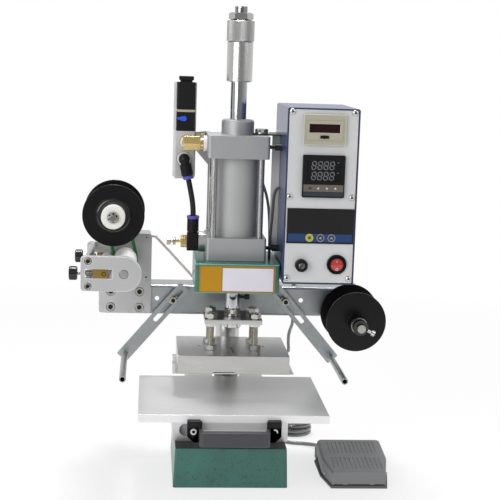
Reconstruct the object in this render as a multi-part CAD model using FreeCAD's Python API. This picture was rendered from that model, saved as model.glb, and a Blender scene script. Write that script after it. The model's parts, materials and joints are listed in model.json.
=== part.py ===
import FreeCAD, Part
import math
import os

# Bench hot foil stamping press. Millimetres, X to the right, Y to the back, Z up.
# The ram runs on the Z axis and the base stands on Z = 0.
V = FreeCAD.Vector
UP = V(0, 0, 1)
RIGHT = V(1, 0, 0)
BACK = V(0, 1, 0)

# Fits
slide_clearance = 0.3
running_clearance = 0.05
fit_clearance = 0.1
cut_margin = 1.0

# Base casting and column
base_width = 135.5
base_depth = 155.0
base_height = 47.5
base_front = 55.0
base_draft = 2.0
base_corner = 4.0
base_wall = 10.0
base_roof = 11.0
base_rib = 8.0
column_radius = 15.0
column_back = 80.0
column_seat = 12.0
column_boss_wall = 8.0
column_free = 185.5
column_grip = 28.0

# Slide block on the base
block_overhang = 1.25
block_front = 26.0
block_depth = 122.0
block_height = 43.8
block_corner = 1.5
block_bore_radius = 7.5
block_bore_spacing = 106.0
block_bore_height = 14.0
slot_spacing = 66.0
slot_neck = 12.0
slot_neck_depth = 8.0
slot_head = 20.0
slot_head_depth = 8.0

# Work table, its carriage and handle
table_width = 213.0
table_depth = 168.0
table_thickness = 9.0
table_front = 124.6
table_offset = -3.0
carriage_width = 98.0
carriage_thickness = 8.8
carriage_length = 219.0
fork_start = 168.5
fork_clearance = 2.3
runner_length = 115.0
handle_span = 90.0
handle_pad = 14.4
handle_pad_thickness = 9.0
handle_pocket_depth = 5.0
handle_pocket_height = 17.5
handle_pocket_rim = 1.2
handle_height = 24.5
handle_reach = 25.4
handle_grip_thickness = 9.0
handle_grip_height = 16.4
handle_neck = 1.0
handle_neck_end = 0.6
handle_shoulder = 3.0
handle_grip_inset = 2.5
handle_inner_lean = 4.0
handle_chamfer = 7.2
handle_edge = 2.0
handle_drop = 20.3
handle_screw_radius = 2.2
handle_screw_drop = 8.0
handle_screw_depth = 15.0

# Platen, die plate and studs
die_thickness = 1.5
die_depth = 90.0
die_left = 69.5
die_right = 71.0
die_tab_height = 10.5
die_tab_thickness = 3.5
die_tab_depth = 14.0
die_tab_left = 71.0
platen_width = 130.0
platen_depth = 101.0
platen_height = 21.4
platen_relief_width = 25.0
platen_relief_height = 2.0
platen_relief_length = 22.0
platen_relief_offset = -11.0
platen_hole_spacing = 76.0
platen_hole_radius = 2.0
platen_hole_depth = 8.0
platen_floor = 1.0
cartridge_radius = 5.0
cartridge_length = 118.0
cartridge_spacing = 32.0
cartridge_count = 3
stud_radius = 4.0
stud_spacing_x = 52.0
stud_spacing_y = 35.0
stud_depth = 9.0
stud_gap = 32.5
stud_top = 7.4
stud_nut_flats = 13.0
stud_nut_height = 6.2
jam_nut_height = 4.0
stud_plate_width = 68.0
stud_plate_depth = 55.0
stud_plate_thickness = 5.5

# Ram rod and its nuts
ram_radius = 8.5
ram_stud_radius = 6.0
ram_nut_flats = 19.0
ram_nut_height = 7.0
ram_washer_radius = 9.8
ram_washer_thickness = 2.5
ram_exposed = 27.5
ram_round_nut_radius = 10.5
ram_round_nut_height = 8.5
ram_cross_hole_radius = 4.4
ram_cross_hole_height = 15.1
ram_cross_hole_depth = 9.0
ram_pin_radius = 1.8
ram_pin_head_radius = 3.2
ram_pin_reach = 5.5
ram_pin_head_length = 6.0
ram_pin_height = 13.0
ram_pin_seat = 3.4

# Head casting
head_width = 97.0
head_offset = 1.0
head_height = 34.0
head_front = 56.0
head_taper_start = 40.0
head_taper_end = 62.0
head_hub_radius = 26.0
head_hub_drop = 13.0
head_edge = 3.0
head_ram_bore = 10.5
head_slit = 2.0

# Air cylinder
lower_cap_side = 69.5
lower_cap_height = 26.5
top_cap_side = 71.0
top_cap_height = 26.2
cap_corner = 3.0
tube_length = 92.0
tube_radius = 25.0
tube_wall = 2.5
tube_seat = 6.0
tie_rod_radius = 3.5
tie_rod_spacing = 54.0
tie_rod_seat = 18.0
cap_boss_radius = 19.0
cap_boss_height = 17.5
cap_boss_chamfer = 2.0
piston_height = 16.0
piston_drop = 4.0
piston_neck_radius = 6.5
upper_rod_radius = 9.5
rod_exposed = 43.0
adjuster_radius = 15.0
adjuster_length = 46.0
knurl_radius = 16.0
knurl_length = 24.0
top_stud_radius = 7.2
lock_nut_flats = 23.0
lock_nut_height = 7.0
lock_nut_gap = 0.6
top_stud_length = 8.5

# Crossbar
crossbar_left = 152.0
crossbar_right = 162.0
crossbar_front = 60.0
crossbar_height = 37.0
crossbar_depth = 37.0
crossbar_sheet = 2.0
crossbar_bend = 3.5
spare_hole_radius = 2.75
spare_hole_x = 89.4
arm_screw_height = 20.0
crossbar_bolt_x = 20.5
crossbar_bolt_flats = 8.0
crossbar_bolt_head = 4.0
crossbar_bolt_reach = 9.0
crossbar_bolt_hole = 10.0

# Slotted arms and guide rods
arm_pivot_x = 69.5
arm_width = 16.0
arm_corner = 2.0
arm_sheet = 2.0
arm_angle = 49.7
arm_above = 21.5
arm_below = 96.0
arm_rod_reach = 90.5
arm_slot_width = 5.6
arm_slot_above = 16.5
arm_slot_below = 35.5
arm_spacer_length = 6.2
arm_spacer_radius = 6.0
arm_screw_radius = 2.5
arm_head_radius = 4.4
arm_head_length = 4.6
guide_rod_radius = 3.9
guide_rod_bore = 2.6
guide_rod_length = 120.0

# Foil feed unit
feed_axis_x = -128.5
feed_rise = 34.8
plate_thickness_back = 6.0
plate_thickness_front = 8.0
plate_gap = 111.0
front_plate_radius = 20.0
front_plate_left = 48.5
front_plate_corner = 4.0
back_plate_right = 31.5
back_plate_top = 29.7
back_plate_left = 47.0
back_plate_left_top = 18.5
back_plate_left_bottom = 22.8
back_plate_foot_left = 32.3
back_plate_bottom = 69.8
back_plate_corner = 4.0
reel_axis_x = -142.2
reel_rise = 60.4
reel_tongue_radius = 14.0
spacer_radius = 4.5
spacer_x = 40.1
spacer_rise = 14.3
spacer_head_radius = 3.9
spacer_shank_radius = 2.4
screw_ring = 0.5
spacer_head_length = 3.0
plate_screw_radius = 5.2
plate_screw_length = 3.5
plate_screw_shank = 2.6
plate_screw_x = 17.5
plate_screw_spacing = 35.0
plate_screw_low = 62.3
plate_screw_rise = 19.5
drive_roller_radius = 14.0
roller_length = 93.0
roller_end_gap = 2.0
axle_radius = 5.0
motor_axle_radius = 4.0
motor_axle_depth = 7.0
pinch_radius = 8.0
pinch_axle_radius = 3.5
slider_length = 17.0
slider_height = 10.0
slider_axle_offset = 12.6
slider_overhang = 0.4
slot_length = 30.2
slot_left_margin = 5.0
knob_radius = 7.4
knob_length = 9.5
knob_gap = 3.5
knob_edge = 0.8
knob_screw_radius = 2.2
knob_screw_reach = 6.0
belt_radius = 2.2
belt_pitch_radius = 13.0
belt_back = 45.0
pulley_radius = 13.0
pulley_width = 7.0
motor_side = 60.0
motor_gearbox_depth = 22.0
motor_can_radius = 24.0
motor_can_length = 40.0
motor_corner = 4.0

# Reels
reel_radius = 36.0
reel_flange = 2.5
reel_width = 57.0
reel_hub_radius = 9.0
reel_core_radius = 14.0
take_up_front = 19.0
take_up_boss_radius = 20.5
take_up_boss_height = 2.5
take_up_hub_radius = 13.8
take_up_hub_length = 16.0
take_up_shaft_radius = 4.0
take_up_shaft_front = 44.0
clip_radius = 6.0
clip_thickness = 1.0
supply_axis_x = 149.0
supply_axis_height = 8.0
supply_front = -7.0
supply_hub_reach = 1.0
supply_shaft_radius = 5.0
supply_shaft_front = 46.0
supply_boss_radius = 10.5
supply_boss_length = 21.0
supply_shoulder_radius = 9.0
supply_stud_radius = 2.5
supply_stud_length = 6.0
supply_nut_flats = 8.0
supply_nut_height = 4.0
supply_collar_radius = 9.0
supply_collar_length = 12.0
thumb_screw_radius = 2.0
thumb_screw_length = 6.0
thumb_head_radius = 3.6
thumb_head_length = 4.5
thumb_tilt = 25.0
thumb_bite = 0.5

# Control box
box_left = 50.8
box_front = 67.0
box_width = 82.0
box_depth = 123.0
box_height = 200.0
box_above_head = 14.4
box_wall = 1.5
box_corner = 2.5
panel_thickness = 2.0
panel_recess = 0.8
panel_gap = 0.3
counter_width = 48.0
counter_height = 34.3
counter_depth = 55.0
counter_rise = 176.0
counter_shift = 0.9
counter_window_width = 35.5
counter_window_height = 10.5
counter_window_rise = 1.6
counter_window_depth = 1.5
instrument_bezel = 4.0
instrument_flange = 1.7
instrument_corner = 1.5
controller_side = 48.0
controller_depth = 75.0
controller_rise = 123.8
controller_shift = 1.6
controller_window_width = 39.0
controller_window_height = 23.0
controller_window_rise = 6.5
reset_radius = 2.4
reset_drop = 8.2
reset_length = 5.0
reset_proud = 1.6
reset_travel = 2.0
button_edge = 0.6
timer_plate_left = 3.4
timer_plate_width = 76.4
timer_plate_rise = 47.0
timer_plate_height = 40.1
timer_plate_thickness = 1.2
timer_button_radius = 3.4
timer_button_length = 6.0
timer_button_proud = 2.0
timer_button_rise = 53.7
timer_button_first = 29.4
timer_button_step = 12.6
timer_button_count = 3
fuse_radius = 7.2
fuse_length = 8.0
fuse_stem_radius = 5.0
fuse_stem_length = 14.0
fuse_x = 21.1
fuse_rise = 22.2
fuse_edge = 1.0
fuse_slot_reach = 5.0
fuse_slot_depth = 1.2
fuse_slot_half = 0.8
rocker_radius = 8.6
rocker_height = 4.6
rocker_depth = 4.0
rocker_face_angle = 9.0
rocker_x = 61.8
rocker_rise = 23.5
rocker_clearance = 0.9
rocker_bezel_radius = 11.3
rocker_bezel_height = 2.4

# Bracket between cylinder and box
bracket_sheet = 1.6
bracket_tab_start = 18.0
bracket_tab_width = 24.0
bracket_strip_width = 9.5
bracket_strip_front = 3.0
bracket_leg_depth = 27.0
bracket_drop = 135.0
bracket_bolt_x = 28.0
bracket_bolt_flats = 13.0
bracket_bolt_height = 5.0
bracket_screw_radius = 2.2
bracket_screw_head_radius = 4.0
bracket_screw_head_length = 8.0
bracket_screw_front = 14.0
bracket_boss_gap = 1.0
bracket_notch = 4.0

# Solenoid valve and air fittings
valve_x = -60.8
valve_width = 23.0
valve_front = 12.0
valve_depth = 27.0
valve_body_height = 56.0
valve_below_top_cap = 28.5
valve_corner = 1.0
valve_plate_sheet = 2.0
valve_plate_right = 24.0
valve_plate_strip = 8.0
valve_plate_knee = 46.0
valve_plate_tip = 37.0
valve_plate_low = 40.0
valve_plate_high = 24.0
valve_plate_drop = 4.0
valve_plate_foot = 7.0
valve_boss_radius = 4.0
pilot_height = 22.0
coil_gap = 3.0
coil_height = 31.5
coil_width = 21.7
coil_offset = 0.4
coil_corner = 1.5
pilot_corner = 0.8
seam_inset = 0.8
plug_height = 7.0
plug_width = 17.0
plug_waist = 1.5
plug_waist_height = 2.5
plug_inset = 2.0
override_x = -62.6
override_rise = 14.5
override_radius = 3.2
override_tail = 7.0
override_tail_radius = 1.2
override_thickness = 1.8
override_stem_radius = 1.5
override_stem_length = 6.0
elbow_flats = 15.0
elbow_boss_radius = 8.7
elbow_collar_radius = 7.0
elbow_collar_length = 3.0
elbow_rise = 43.0
elbow_x = -59.5
elbow_front = 8.5
push_rise = 23.5
push_shift = 0.6
push_sleeve_start = 3.0
push_ball_radius = 7.2
push_sleeve_radius = 6.6
push_sleeve_length = 16.0
push_collar_radius = 5.9
push_collar_length = 4.2
tube_outer_radius = 3.2
tube_lean = 13.0
flow_rise = 17.3
flow_x = -49.6
flow_body_radius = 6.9
flow_body_height = 20.6
flow_corner = 2.0
flow_sleeve_radius = 6.9
flow_sleeve_height = 14.0
flow_waist_radius = 5.4
flow_waist_height = 1.6
flow_washer_radius = 12.0
flow_nut_flats = 13.0
flow_nut_length = 7.0
needle_radius = 2.2
needle_length = 16.4
needle_lock_flats = 8.0
needle_lock_length = 3.2
needle_lock_place = 6.0
needle_head_length = 4.5

# Foot switch
pedal_x = 153.0
pedal_width = 79.0
pedal_front_width = 63.5
pedal_taper_start = 14.0
pedal_corner = 6.0
pedal_front = 54.0
pedal_front_height = 20.0
pedal_back = 39.0
pedal_back_height = 31.0
pedal_bottom = 3.6
pedal_back_lift = 9.0
pedal_wall = 2.5
pedal_edge = 3.0
pedal_rib_count = 12
pedal_rib_pitch = 5.2
pedal_rib_width = 1.8
pedal_rib_depth = 0.8
pedal_rib_margin = 9.0
pedal_band = 13.0
pedal_base_margin = 1.8
pedal_tray_back = 46.0
pedal_base_back = 62.0
pedal_base_height = 3.0
pedal_core_height = 13.0
pedal_core_gap = 2.0
pedal_core_back_gap = 6.0
pedal_pivot_front = 27.0
pedal_pivot_height = 9.0
pedal_pin_radius = 1.8
pedal_pin_reach = 1.6
pedal_tail_width = 22.0
pedal_tail_x = 126.0
pedal_tail_front = 44.0

# Cord of the foot switch, its coil and its glands
cord_radius = 2.5
gland_radius = 4.6
gland_length = 7.0
gland_tip = 0.8
gland_nut_flats = 13.0
gland_nut_length = 5.0
coil_centre = V(98.0, 164.0, 2.6)
coil_outer = 24.5
coil_step = 6.3
coil_layer = 5.8
coil_layers = 4
coil_half_turns = 3
base_gland_x = 44.0

# Leads held by the machine
lead_radius = 1.7
heater_cable_radius = 2.0
lead_hole_radius = 4.0
bend_share = 0.45
cord_exit_height = 7.0
motor_lead_rise = 24.2
hub_lead_rise = 6.0
coil_lead_rise = 22.0
box_lead_rise = 102.6
heater_lead_rise = 8.0
heater_entry_rise = 15.6
heater_entry_back = 16.0

# Levels worked out from the sizes
block_width = base_width + 2.0 * block_overhang
block_top = base_height + block_height
carriage_bottom = block_top + slide_clearance
table_bottom = carriage_bottom + carriage_thickness
table_top = table_bottom + table_thickness
head_bottom = base_height + column_free
head_top = head_bottom + head_height
ram_shoulder = head_bottom - ram_exposed
stud_plate_top = ram_shoulder - ram_nut_height - ram_washer_thickness
stud_plate_bottom = stud_plate_top - stud_plate_thickness
platen_top = stud_plate_bottom - stud_gap
platen_bottom = platen_top - platen_height
die_bottom = platen_bottom - die_thickness
lower_cap_top = head_top + lower_cap_height
tube_top = lower_cap_top + tube_length
top_cap_top = tube_top + top_cap_height
boss_top = top_cap_top + cap_boss_height
adjuster_bottom = boss_top + rod_exposed
knurl_bottom = adjuster_bottom + adjuster_length
knurl_top = knurl_bottom + knurl_length
lock_nut_bottom = knurl_top + lock_nut_gap
lock_nut_top = lock_nut_bottom + lock_nut_height
crossbar_top = head_bottom - head_hub_drop
crossbar_bottom = crossbar_top - crossbar_height
feed_axis_z = crossbar_top + feed_rise
reel_axis_z = feed_axis_z + reel_rise
box_bottom = head_bottom + box_above_head
panel_front = -box_front + panel_recess
panel_back = panel_front + panel_thickness
arm_back = crossbar_front - arm_spacer_length - slide_clearance
arm_pivot_z = crossbar_bottom + arm_screw_height
plate_front_face = crossbar_front - plate_thickness_back
front_plate_back = plate_front_face - plate_gap
front_plate_front = front_plate_back - plate_thickness_front
slot_start_x = feed_axis_x - front_plate_left + slot_left_margin
pinch_axis_x = feed_axis_x - drive_roller_radius - pinch_radius - slide_clearance
slider_left = pinch_axis_x - slider_axle_offset
supply_axis_z = crossbar_bottom + supply_axis_height
valve_back = valve_front + valve_depth
valve_bottom = tube_top - valve_below_top_cap
pilot_bottom = valve_bottom + valve_body_height
coil_bottom = pilot_bottom + pilot_height + coil_gap
flow_z = head_top + flow_rise

# Runs of the cord and the leads, each from the place where it leaves one piece to the next
cord_exit = V(pedal_tail_x, pedal_base_back + gland_length, cord_exit_height)
cord_points = [
    cord_exit,
    cord_exit + V(0.0, 14.0, 0.0),
    cord_exit + V(-6.0, 29.0, -3.2),
    cord_exit + V(-20.0, 38.0, -4.3),
    V(89.0, 110.0, 2.6),
    V(75.0, 120.0, 2.6),
    V(69.5, 137.0, 2.6),
]
motor_exit = V(feed_axis_x + motor_side / 2.0, crossbar_front + motor_gearbox_depth / 2.0,
               feed_axis_z + motor_lead_rise)
hub_entry = V(-head_hub_radius, column_back, crossbar_top + hub_lead_rise)
motor_lead_points = [
    motor_exit,
    motor_exit + V(6.0, 0.0, 0.0),
    hub_entry + V(-18.0, 0.0, 0.0),
    hub_entry,
]
coil_exit = V(valve_x, valve_back, coil_bottom + coil_lead_rise)
head_entry = V(43.5, 17.0, head_top)
valve_lead_points = [
    coil_exit,
    coil_exit + V(0.0, 15.0, 0.0),
    coil_exit + V(0.0, 23.0, -35.0),
    coil_exit + V(18.0, 23.0, -61.0),
    head_entry + V(-53.0, 43.0, 128.0),
    head_entry + V(-18.0, 33.0, 104.0),
    head_entry + V(-4.0, 12.0, 74.0),
    head_entry + V(0.0, 0.0, 37.0),
    head_entry,
]
case_exit = V(box_left, -4.0, box_bottom + box_lead_rise)
front_entry = V(41.5, -4.0, head_top)
box_lead_points = [
    case_exit,
    case_exit + V(-5.8, 0.0, 0.0),
    front_entry + V(2.1, 0.0, 51.0),
    front_entry + V(0.0, 0.0, 21.0),
    front_entry,
]
platen_exit = V(platen_width / 2.0, cartridge_spacing, platen_bottom + heater_lead_rise)
case_entry = V(81.5, box_depth - box_front, box_bottom + heater_entry_rise)
heater_cable_points = [
    platen_exit,
    platen_exit + V(8.5, 0.0, 0.0),
    case_entry + V(0.0, heater_entry_back, -92.0),
    case_entry + V(0.0, heater_entry_back, 0.0),
    case_entry,
]


# Solids along the axes
def block(x0, x1, y0, y1, z0, z1):
    return Part.makeBox(x1 - x0, y1 - y0, z1 - z0, V(x0, y0, z0))


def rod_x(radius, x0, x1, y, z):
    return Part.makeCylinder(radius, x1 - x0, V(x0, y, z), RIGHT)


def rod_y(radius, y0, y1, x, z):
    return Part.makeCylinder(radius, y1 - y0, V(x, y0, z), BACK)


def rod_z(radius, z0, z1, x=0.0, y=0.0):
    return Part.makeCylinder(radius, z1 - z0, V(x, y, z0), UP)


def prism(points, along):
    return Part.Face(Part.makePolygon(points + points[:1])).extrude(along)


def hexagon(flats, start, along, side):
    radius = flats / math.sqrt(3.0)
    across = along.cross(side).normalize()
    corners = []
    for corner in range(6):
        angle = math.radians(60.0 * corner)
        corners.append(start + side * (radius * math.cos(angle)) + across * (radius * math.sin(angle)))
    return prism(corners, along)


def hex_z(flats, z0, z1, x=0.0, y=0.0):
    return hexagon(flats, V(x, y, z0), V(0, 0, z1 - z0), RIGHT)


def hex_x(flats, x0, x1, y, z):
    return hexagon(flats, V(x0, y, z), V(x1 - x0, 0, 0), UP)


def edges_along(solid, direction):
    found = []
    for edge in solid.Edges:
        if edge.Curve.TypeId != "Part::GeomLine":
            continue
        if abs(edge.tangentAt(edge.FirstParameter).dot(direction)) > 0.999:
            found.append(edge)
    return found


def edges_at(solid, axis, level):
    found = []
    for edge in solid.Edges:
        box = edge.BoundBox
        low, high = {"x": (box.XMin, box.XMax), "y": (box.YMin, box.YMax), "z": (box.ZMin, box.ZMax)}[axis]
        if abs(low - level) < 1e-4 and abs(high - level) < 1e-4:
            found.append(edge)
    return found


def rounded_block(x0, x1, y0, y1, z0, z1, radius, direction):
    solid = block(x0, x1, y0, y1, z0, z1)
    return solid.makeFillet(radius, edges_along(solid, direction))


def revolve_z(profile, x=0.0, y=0.0):
    points = [V(x + radius, y, z) for radius, z in profile]
    face = Part.Face(Part.makePolygon(points + points[:1]))
    return face.revolve(V(x, y, 0), UP, 360)


def revolve_y(profile, x, z):
    points = [V(x + radius, y, z) for radius, y in profile]
    face = Part.Face(Part.makePolygon(points + points[:1]))
    return face.revolve(V(x, 0, z), BACK, 360)


def group(solids):
    return Part.makeCompound(solids)


def nut_z(flats, hole, z0, z1, x=0.0, y=0.0):
    return hex_z(flats, z0, z1, x, y).cut(rod_z(hole, z0, z1, x, y))


def save(node, shape):
    shape.exportStep("parts/" + node + ".step")


# Tubes for cords and leads
def arc_through(start, tangent, end):
    chord = end - start
    sideways = chord - tangent * chord.dot(tangent)
    if sideways.Length < 1e-6:
        return Part.LineSegment(start, end)
    half_turn = math.atan2(sideways.Length, chord.dot(tangent))
    middle = (start + end) * 0.5
    bulge = chord.Length * 0.5 * math.tan(half_turn * 0.5)
    outward = (tangent * chord.Length - chord * math.cos(half_turn)).normalize()
    return Part.Arc(start, middle + outward * bulge, end)


def biarc(start, start_tangent, end, end_tangent):
    span = end - start
    total = start_tangent + end_tangent
    spread = 2.0 * (1.0 - start_tangent.dot(end_tangent))
    if spread < 1e-9:
        reach = span.dot(span) / (4.0 * span.dot(end_tangent))
    else:
        root = math.sqrt(span.dot(total) ** 2 + spread * span.dot(span))
        reach = (root - span.dot(total)) / spread
    joint = (start + start_tangent * reach + end - end_tangent * reach) * 0.5
    first = arc_through(start, start_tangent, joint)
    back = arc_through(end, end_tangent * -1.0, joint)
    return [first.toShape(), back.toShape()]


def rounded_path(points, label):
    edges = []
    radii = []
    start = points[0]
    for before, corner, after in zip(points, points[1:], points[2:]):
        incoming = (corner - before).normalize()
        outgoing = (after - corner).normalize()
        turn = incoming.getAngle(outgoing)
        shorter = min(corner.distanceToPoint(before), after.distanceToPoint(corner))
        setback = bend_share * shorter
        radii.append(round(setback / math.tan(turn / 2.0), 1))
        arc_start = corner - incoming * setback
        arc_end = corner + outgoing * setback
        edges.append(Part.LineSegment(start, arc_start).toShape())
        edges.append(arc_through(arc_start, incoming, arc_end).toShape())
        start = arc_end
    edges.append(Part.LineSegment(start, points[-1]).toShape())
    print(label, "bend radii", radii)
    return edges


def tube_along(edges, radius, start, tangent, label):
    wire = Part.Wire(Part.__sortEdges__(edges))
    section = Part.Wire(Part.Circle(start, tangent, radius).toShape())
    tube = wire.makePipeShell([section], True, False)
    ideal = math.pi * radius ** 2 * wire.Length
    print(label, "length", round(wire.Length, 1), "volume ratio", round(tube.Volume / ideal, 4))
    return tube


def tube_through(points, radius, label):
    tangent = (points[1] - points[0]).normalize()
    return tube_along(rounded_path(points, label), radius, points[0], tangent, label)


# Base, column, slide block
def base_casting():
    half = base_width / 2.0
    top_half = half - base_draft
    front = -base_front
    back = base_depth - base_front

    def outline(reach, inset, z):
        corners = [V(-reach, front + inset, z), V(reach, front + inset, z)]
        corners += [V(reach, back - inset, z), V(-reach, back - inset, z)]
        return Part.makePolygon(corners + corners[:1])

    body = Part.makeLoft([outline(half, 0.0, 0.0), outline(top_half, base_draft, base_height)], True, True)
    upright = [edge for edge in body.Edges if abs(edge.BoundBox.ZLength - base_height) < 1e-3]
    body = body.makeFillet(base_corner, upright)
    cavity = block(-half + base_wall, half - base_wall, front + base_wall, back - base_wall, 0.0,
                   base_height - base_roof)
    boss = rod_z(column_radius + column_boss_wall, 0.0, base_height, 0.0, column_back)
    rib = block(-half, half, -base_rib / 2.0, base_rib / 2.0, 0.0, base_height)
    gland_z = coil_centre.z + coil_layer * (coil_layers - 1)
    gland_hole = rod_y(gland_radius + fit_clearance, back - 2.0 * base_wall, back, base_gland_x, gland_z)
    body = body.cut(cavity.cut(boss).cut(rib))
    seat = rod_z(column_radius + fit_clearance, column_seat, base_height, 0.0, column_back)
    return body.cut(seat).cut(gland_hole)


def slide_block():
    half = block_width / 2.0
    front = -block_front
    back = front + block_depth
    body = rounded_block(-half, half, front, back, base_height, block_top, block_corner, BACK)
    neck_bottom = block_top - slot_neck_depth
    head_floor = neck_bottom - slot_head_depth
    neck = slot_neck / 2.0
    head = slot_head / 2.0
    for side in (-1, 1):
        bore_x = side * block_bore_spacing / 2.0
        body = body.cut(rod_y(block_bore_radius, front, back, bore_x, base_height + block_bore_height))
        slot_x = side * slot_spacing / 2.0
        body = body.cut(block(slot_x - neck, slot_x + neck, front, back, neck_bottom, block_top))
        body = body.cut(block(slot_x - head, slot_x + head, front, back, head_floor, neck_bottom))
    return body.cut(rod_z(column_radius + fit_clearance, base_height, block_top, 0.0, column_back))


def column():
    return rod_z(column_radius, column_seat, head_bottom + column_grip, 0.0, column_back)


# Table on its carriage
def worktable():
    half = table_width / 2.0
    back = table_depth - table_front
    return block(table_offset - half, table_offset + half, -table_front, back, table_bottom, table_top)


def carriage_plate():
    half = carriage_width / 2.0
    front = -table_front
    back = carriage_length - table_front
    plate = block(table_offset - half, table_offset + half, front, back, carriage_bottom, table_bottom)
    screw_z = table_bottom - handle_screw_drop
    for side in (-1, 1):
        screw_x = table_offset + side * handle_span / 2.0
        plate = plate.cut(rod_y(handle_screw_radius, front, front + handle_screw_depth, screw_x, screw_z))
    fork_half = column_radius + fork_clearance
    fork_front = fork_start - table_front
    plate = plate.cut(block(-fork_half, fork_half, fork_front, back, carriage_bottom, table_bottom))
    neck_bottom = block_top - slot_neck_depth - slide_clearance
    head_floor = block_top - slot_neck_depth - slot_head_depth + slide_clearance
    neck = slot_neck / 2.0 - slide_clearance
    head = slot_head / 2.0 - slide_clearance
    runner_front = back - runner_length
    for side in (-1, 1):
        slot_x = side * slot_spacing / 2.0
        stem = block(slot_x - neck, slot_x + neck, runner_front, back, neck_bottom, carriage_bottom)
        foot = block(slot_x - head, slot_x + head, runner_front, back, head_floor, neck_bottom)
        plate = plate.fuse(stem).fuse(foot)
    return plate.removeSplitter()


def table_handle():
    pad_outer = handle_span / 2.0 + handle_pad / 2.0
    pad_inner = handle_span / 2.0 - handle_pad / 2.0
    grip_inner = handle_reach - handle_grip_thickness
    bottom = table_bottom - handle_drop
    shape = [
        (pad_outer, 0.0), (pad_outer, handle_pad_thickness),
        (pad_inner + handle_neck, handle_pad_thickness),
        (pad_inner + handle_neck_end, handle_reach - handle_shoulder),
        (pad_inner - handle_grip_inset, handle_reach),
    ]
    inside = [(pad_inner - handle_inner_lean, grip_inner), (pad_inner, 0.0)]
    outline = [(x, out) for x, out in shape] + [(-x, out) for x, out in reversed(shape)]
    outline += [(-x, out) for x, out in reversed(inside)] + [(x, out) for x, out in inside]
    points = [V(table_offset + x, -table_front - out, bottom) for x, out in outline]
    body = prism(points, V(0, 0, handle_height))
    grip_top = bottom + handle_grip_height
    pad_front = -table_front - handle_pad_thickness
    grip_half = pad_inner + cut_margin
    grip_front = -table_front - handle_reach
    body = body.cut(block(table_offset - grip_half, table_offset + grip_half, grip_front, pad_front, grip_top,
                          bottom + handle_height))
    rim = handle_pocket_rim
    diagonal = rim * (math.sqrt(2.0) - 1.0)
    screw_z = table_bottom - handle_screw_drop
    for side in (-1, 1):
        outer = table_offset + side * pad_outer
        corner = [V(outer, -table_front, bottom), V(outer - side * handle_chamfer, -table_front, bottom)]
        corner += [V(outer, -table_front, bottom + handle_chamfer)]
        body = body.cut(prism(corner, V(0, -handle_pad_thickness, 0)))
        pocket_inner = table_offset + side * (pad_inner + handle_neck + rim)
        pocket_top = bottom + handle_pocket_height
        pocket = [
            V(outer - side * rim, pad_front, pocket_top), V(pocket_inner, pad_front, pocket_top),
            V(pocket_inner, pad_front, bottom + rim),
            V(outer - side * (handle_chamfer + diagonal), pad_front, bottom + rim),
            V(outer - side * rim, pad_front, bottom + handle_chamfer + diagonal),
        ]
        body = body.cut(prism(pocket, V(0, handle_pocket_depth, 0)))
        screw_x = table_offset + side * handle_span / 2.0
        body = body.cut(rod_y(handle_screw_radius + fit_clearance, pad_front, -table_front, screw_x, screw_z))
    return body.makeFillet(handle_edge, edges_at(body, "y", grip_front))


# Platen hung on four studs
def stud_places():
    return [(sx * stud_spacing_x / 2.0, sy * stud_spacing_y / 2.0) for sx in (-1, 1) for sy in (-1, 1)]


def cartridge_places():
    first = -cartridge_spacing * (cartridge_count - 1) / 2.0
    return [first + cartridge_spacing * place for place in range(cartridge_count)]


def heater_platen():
    half_x = platen_width / 2.0
    half_y = platen_depth / 2.0
    body = block(-half_x, half_x, -half_y, half_y, platen_bottom, platen_top)
    middle = platen_bottom + platen_relief_height + platen_floor + cartridge_radius
    for y in cartridge_places():
        body = body.cut(rod_x(cartridge_radius + fit_clearance, half_x - cartridge_length, half_x, y, middle))
    for x, y in stud_places():
        body = body.cut(rod_z(stud_radius + fit_clearance, platen_top - stud_depth, platen_top, x, y))
    for side in (-1, 1):
        hole_x = side * platen_hole_spacing / 2.0
        body = body.cut(rod_z(platen_hole_radius, platen_top - platen_hole_depth, platen_top, hole_x, 0.0))
    relief_half = platen_relief_width / 2.0
    relief = block(platen_relief_offset - relief_half, platen_relief_offset + relief_half, -half_y,
                   -half_y + platen_relief_length, platen_bottom, platen_bottom + platen_relief_height)
    solids = [body.cut(relief)]
    for y in cartridge_places():
        solids.append(rod_x(cartridge_radius, half_x - cartridge_length, half_x, y, middle))
    return group(solids)


def die_plate():
    half_y = die_depth / 2.0
    sheet = block(-die_left, die_right, -half_y, half_y, die_bottom, platen_bottom)
    tab_right = -die_tab_left + die_tab_thickness
    tab = block(-die_tab_left, tab_right, -half_y, -half_y + die_tab_depth, die_bottom,
                platen_bottom + die_tab_height)
    return sheet.fuse(tab).removeSplitter()


def platen_studs():
    solids = []
    hole = stud_radius + fit_clearance
    jam_bottom = stud_plate_bottom - jam_nut_height
    for x, y in stud_places():
        solids.append(rod_z(stud_radius, platen_top - stud_depth, stud_plate_top + stud_top, x, y))
        solids.append(nut_z(stud_nut_flats, hole, platen_top, platen_top + stud_nut_height, x, y))
        solids.append(nut_z(stud_nut_flats, hole, jam_bottom, stud_plate_bottom, x, y))
        solids.append(nut_z(stud_nut_flats, hole, stud_plate_top, stud_plate_top + stud_nut_height, x, y))
    return group(solids)


def stud_plate():
    half_x = stud_plate_width / 2.0
    half_y = stud_plate_depth / 2.0
    body = block(-half_x, half_x, -half_y, half_y, stud_plate_bottom, stud_plate_top)
    for x, y in stud_places():
        body = body.cut(rod_z(stud_radius + fit_clearance, stud_plate_bottom, stud_plate_top, x, y))
    return body.cut(rod_z(ram_stud_radius + fit_clearance, stud_plate_bottom, stud_plate_top))


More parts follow.
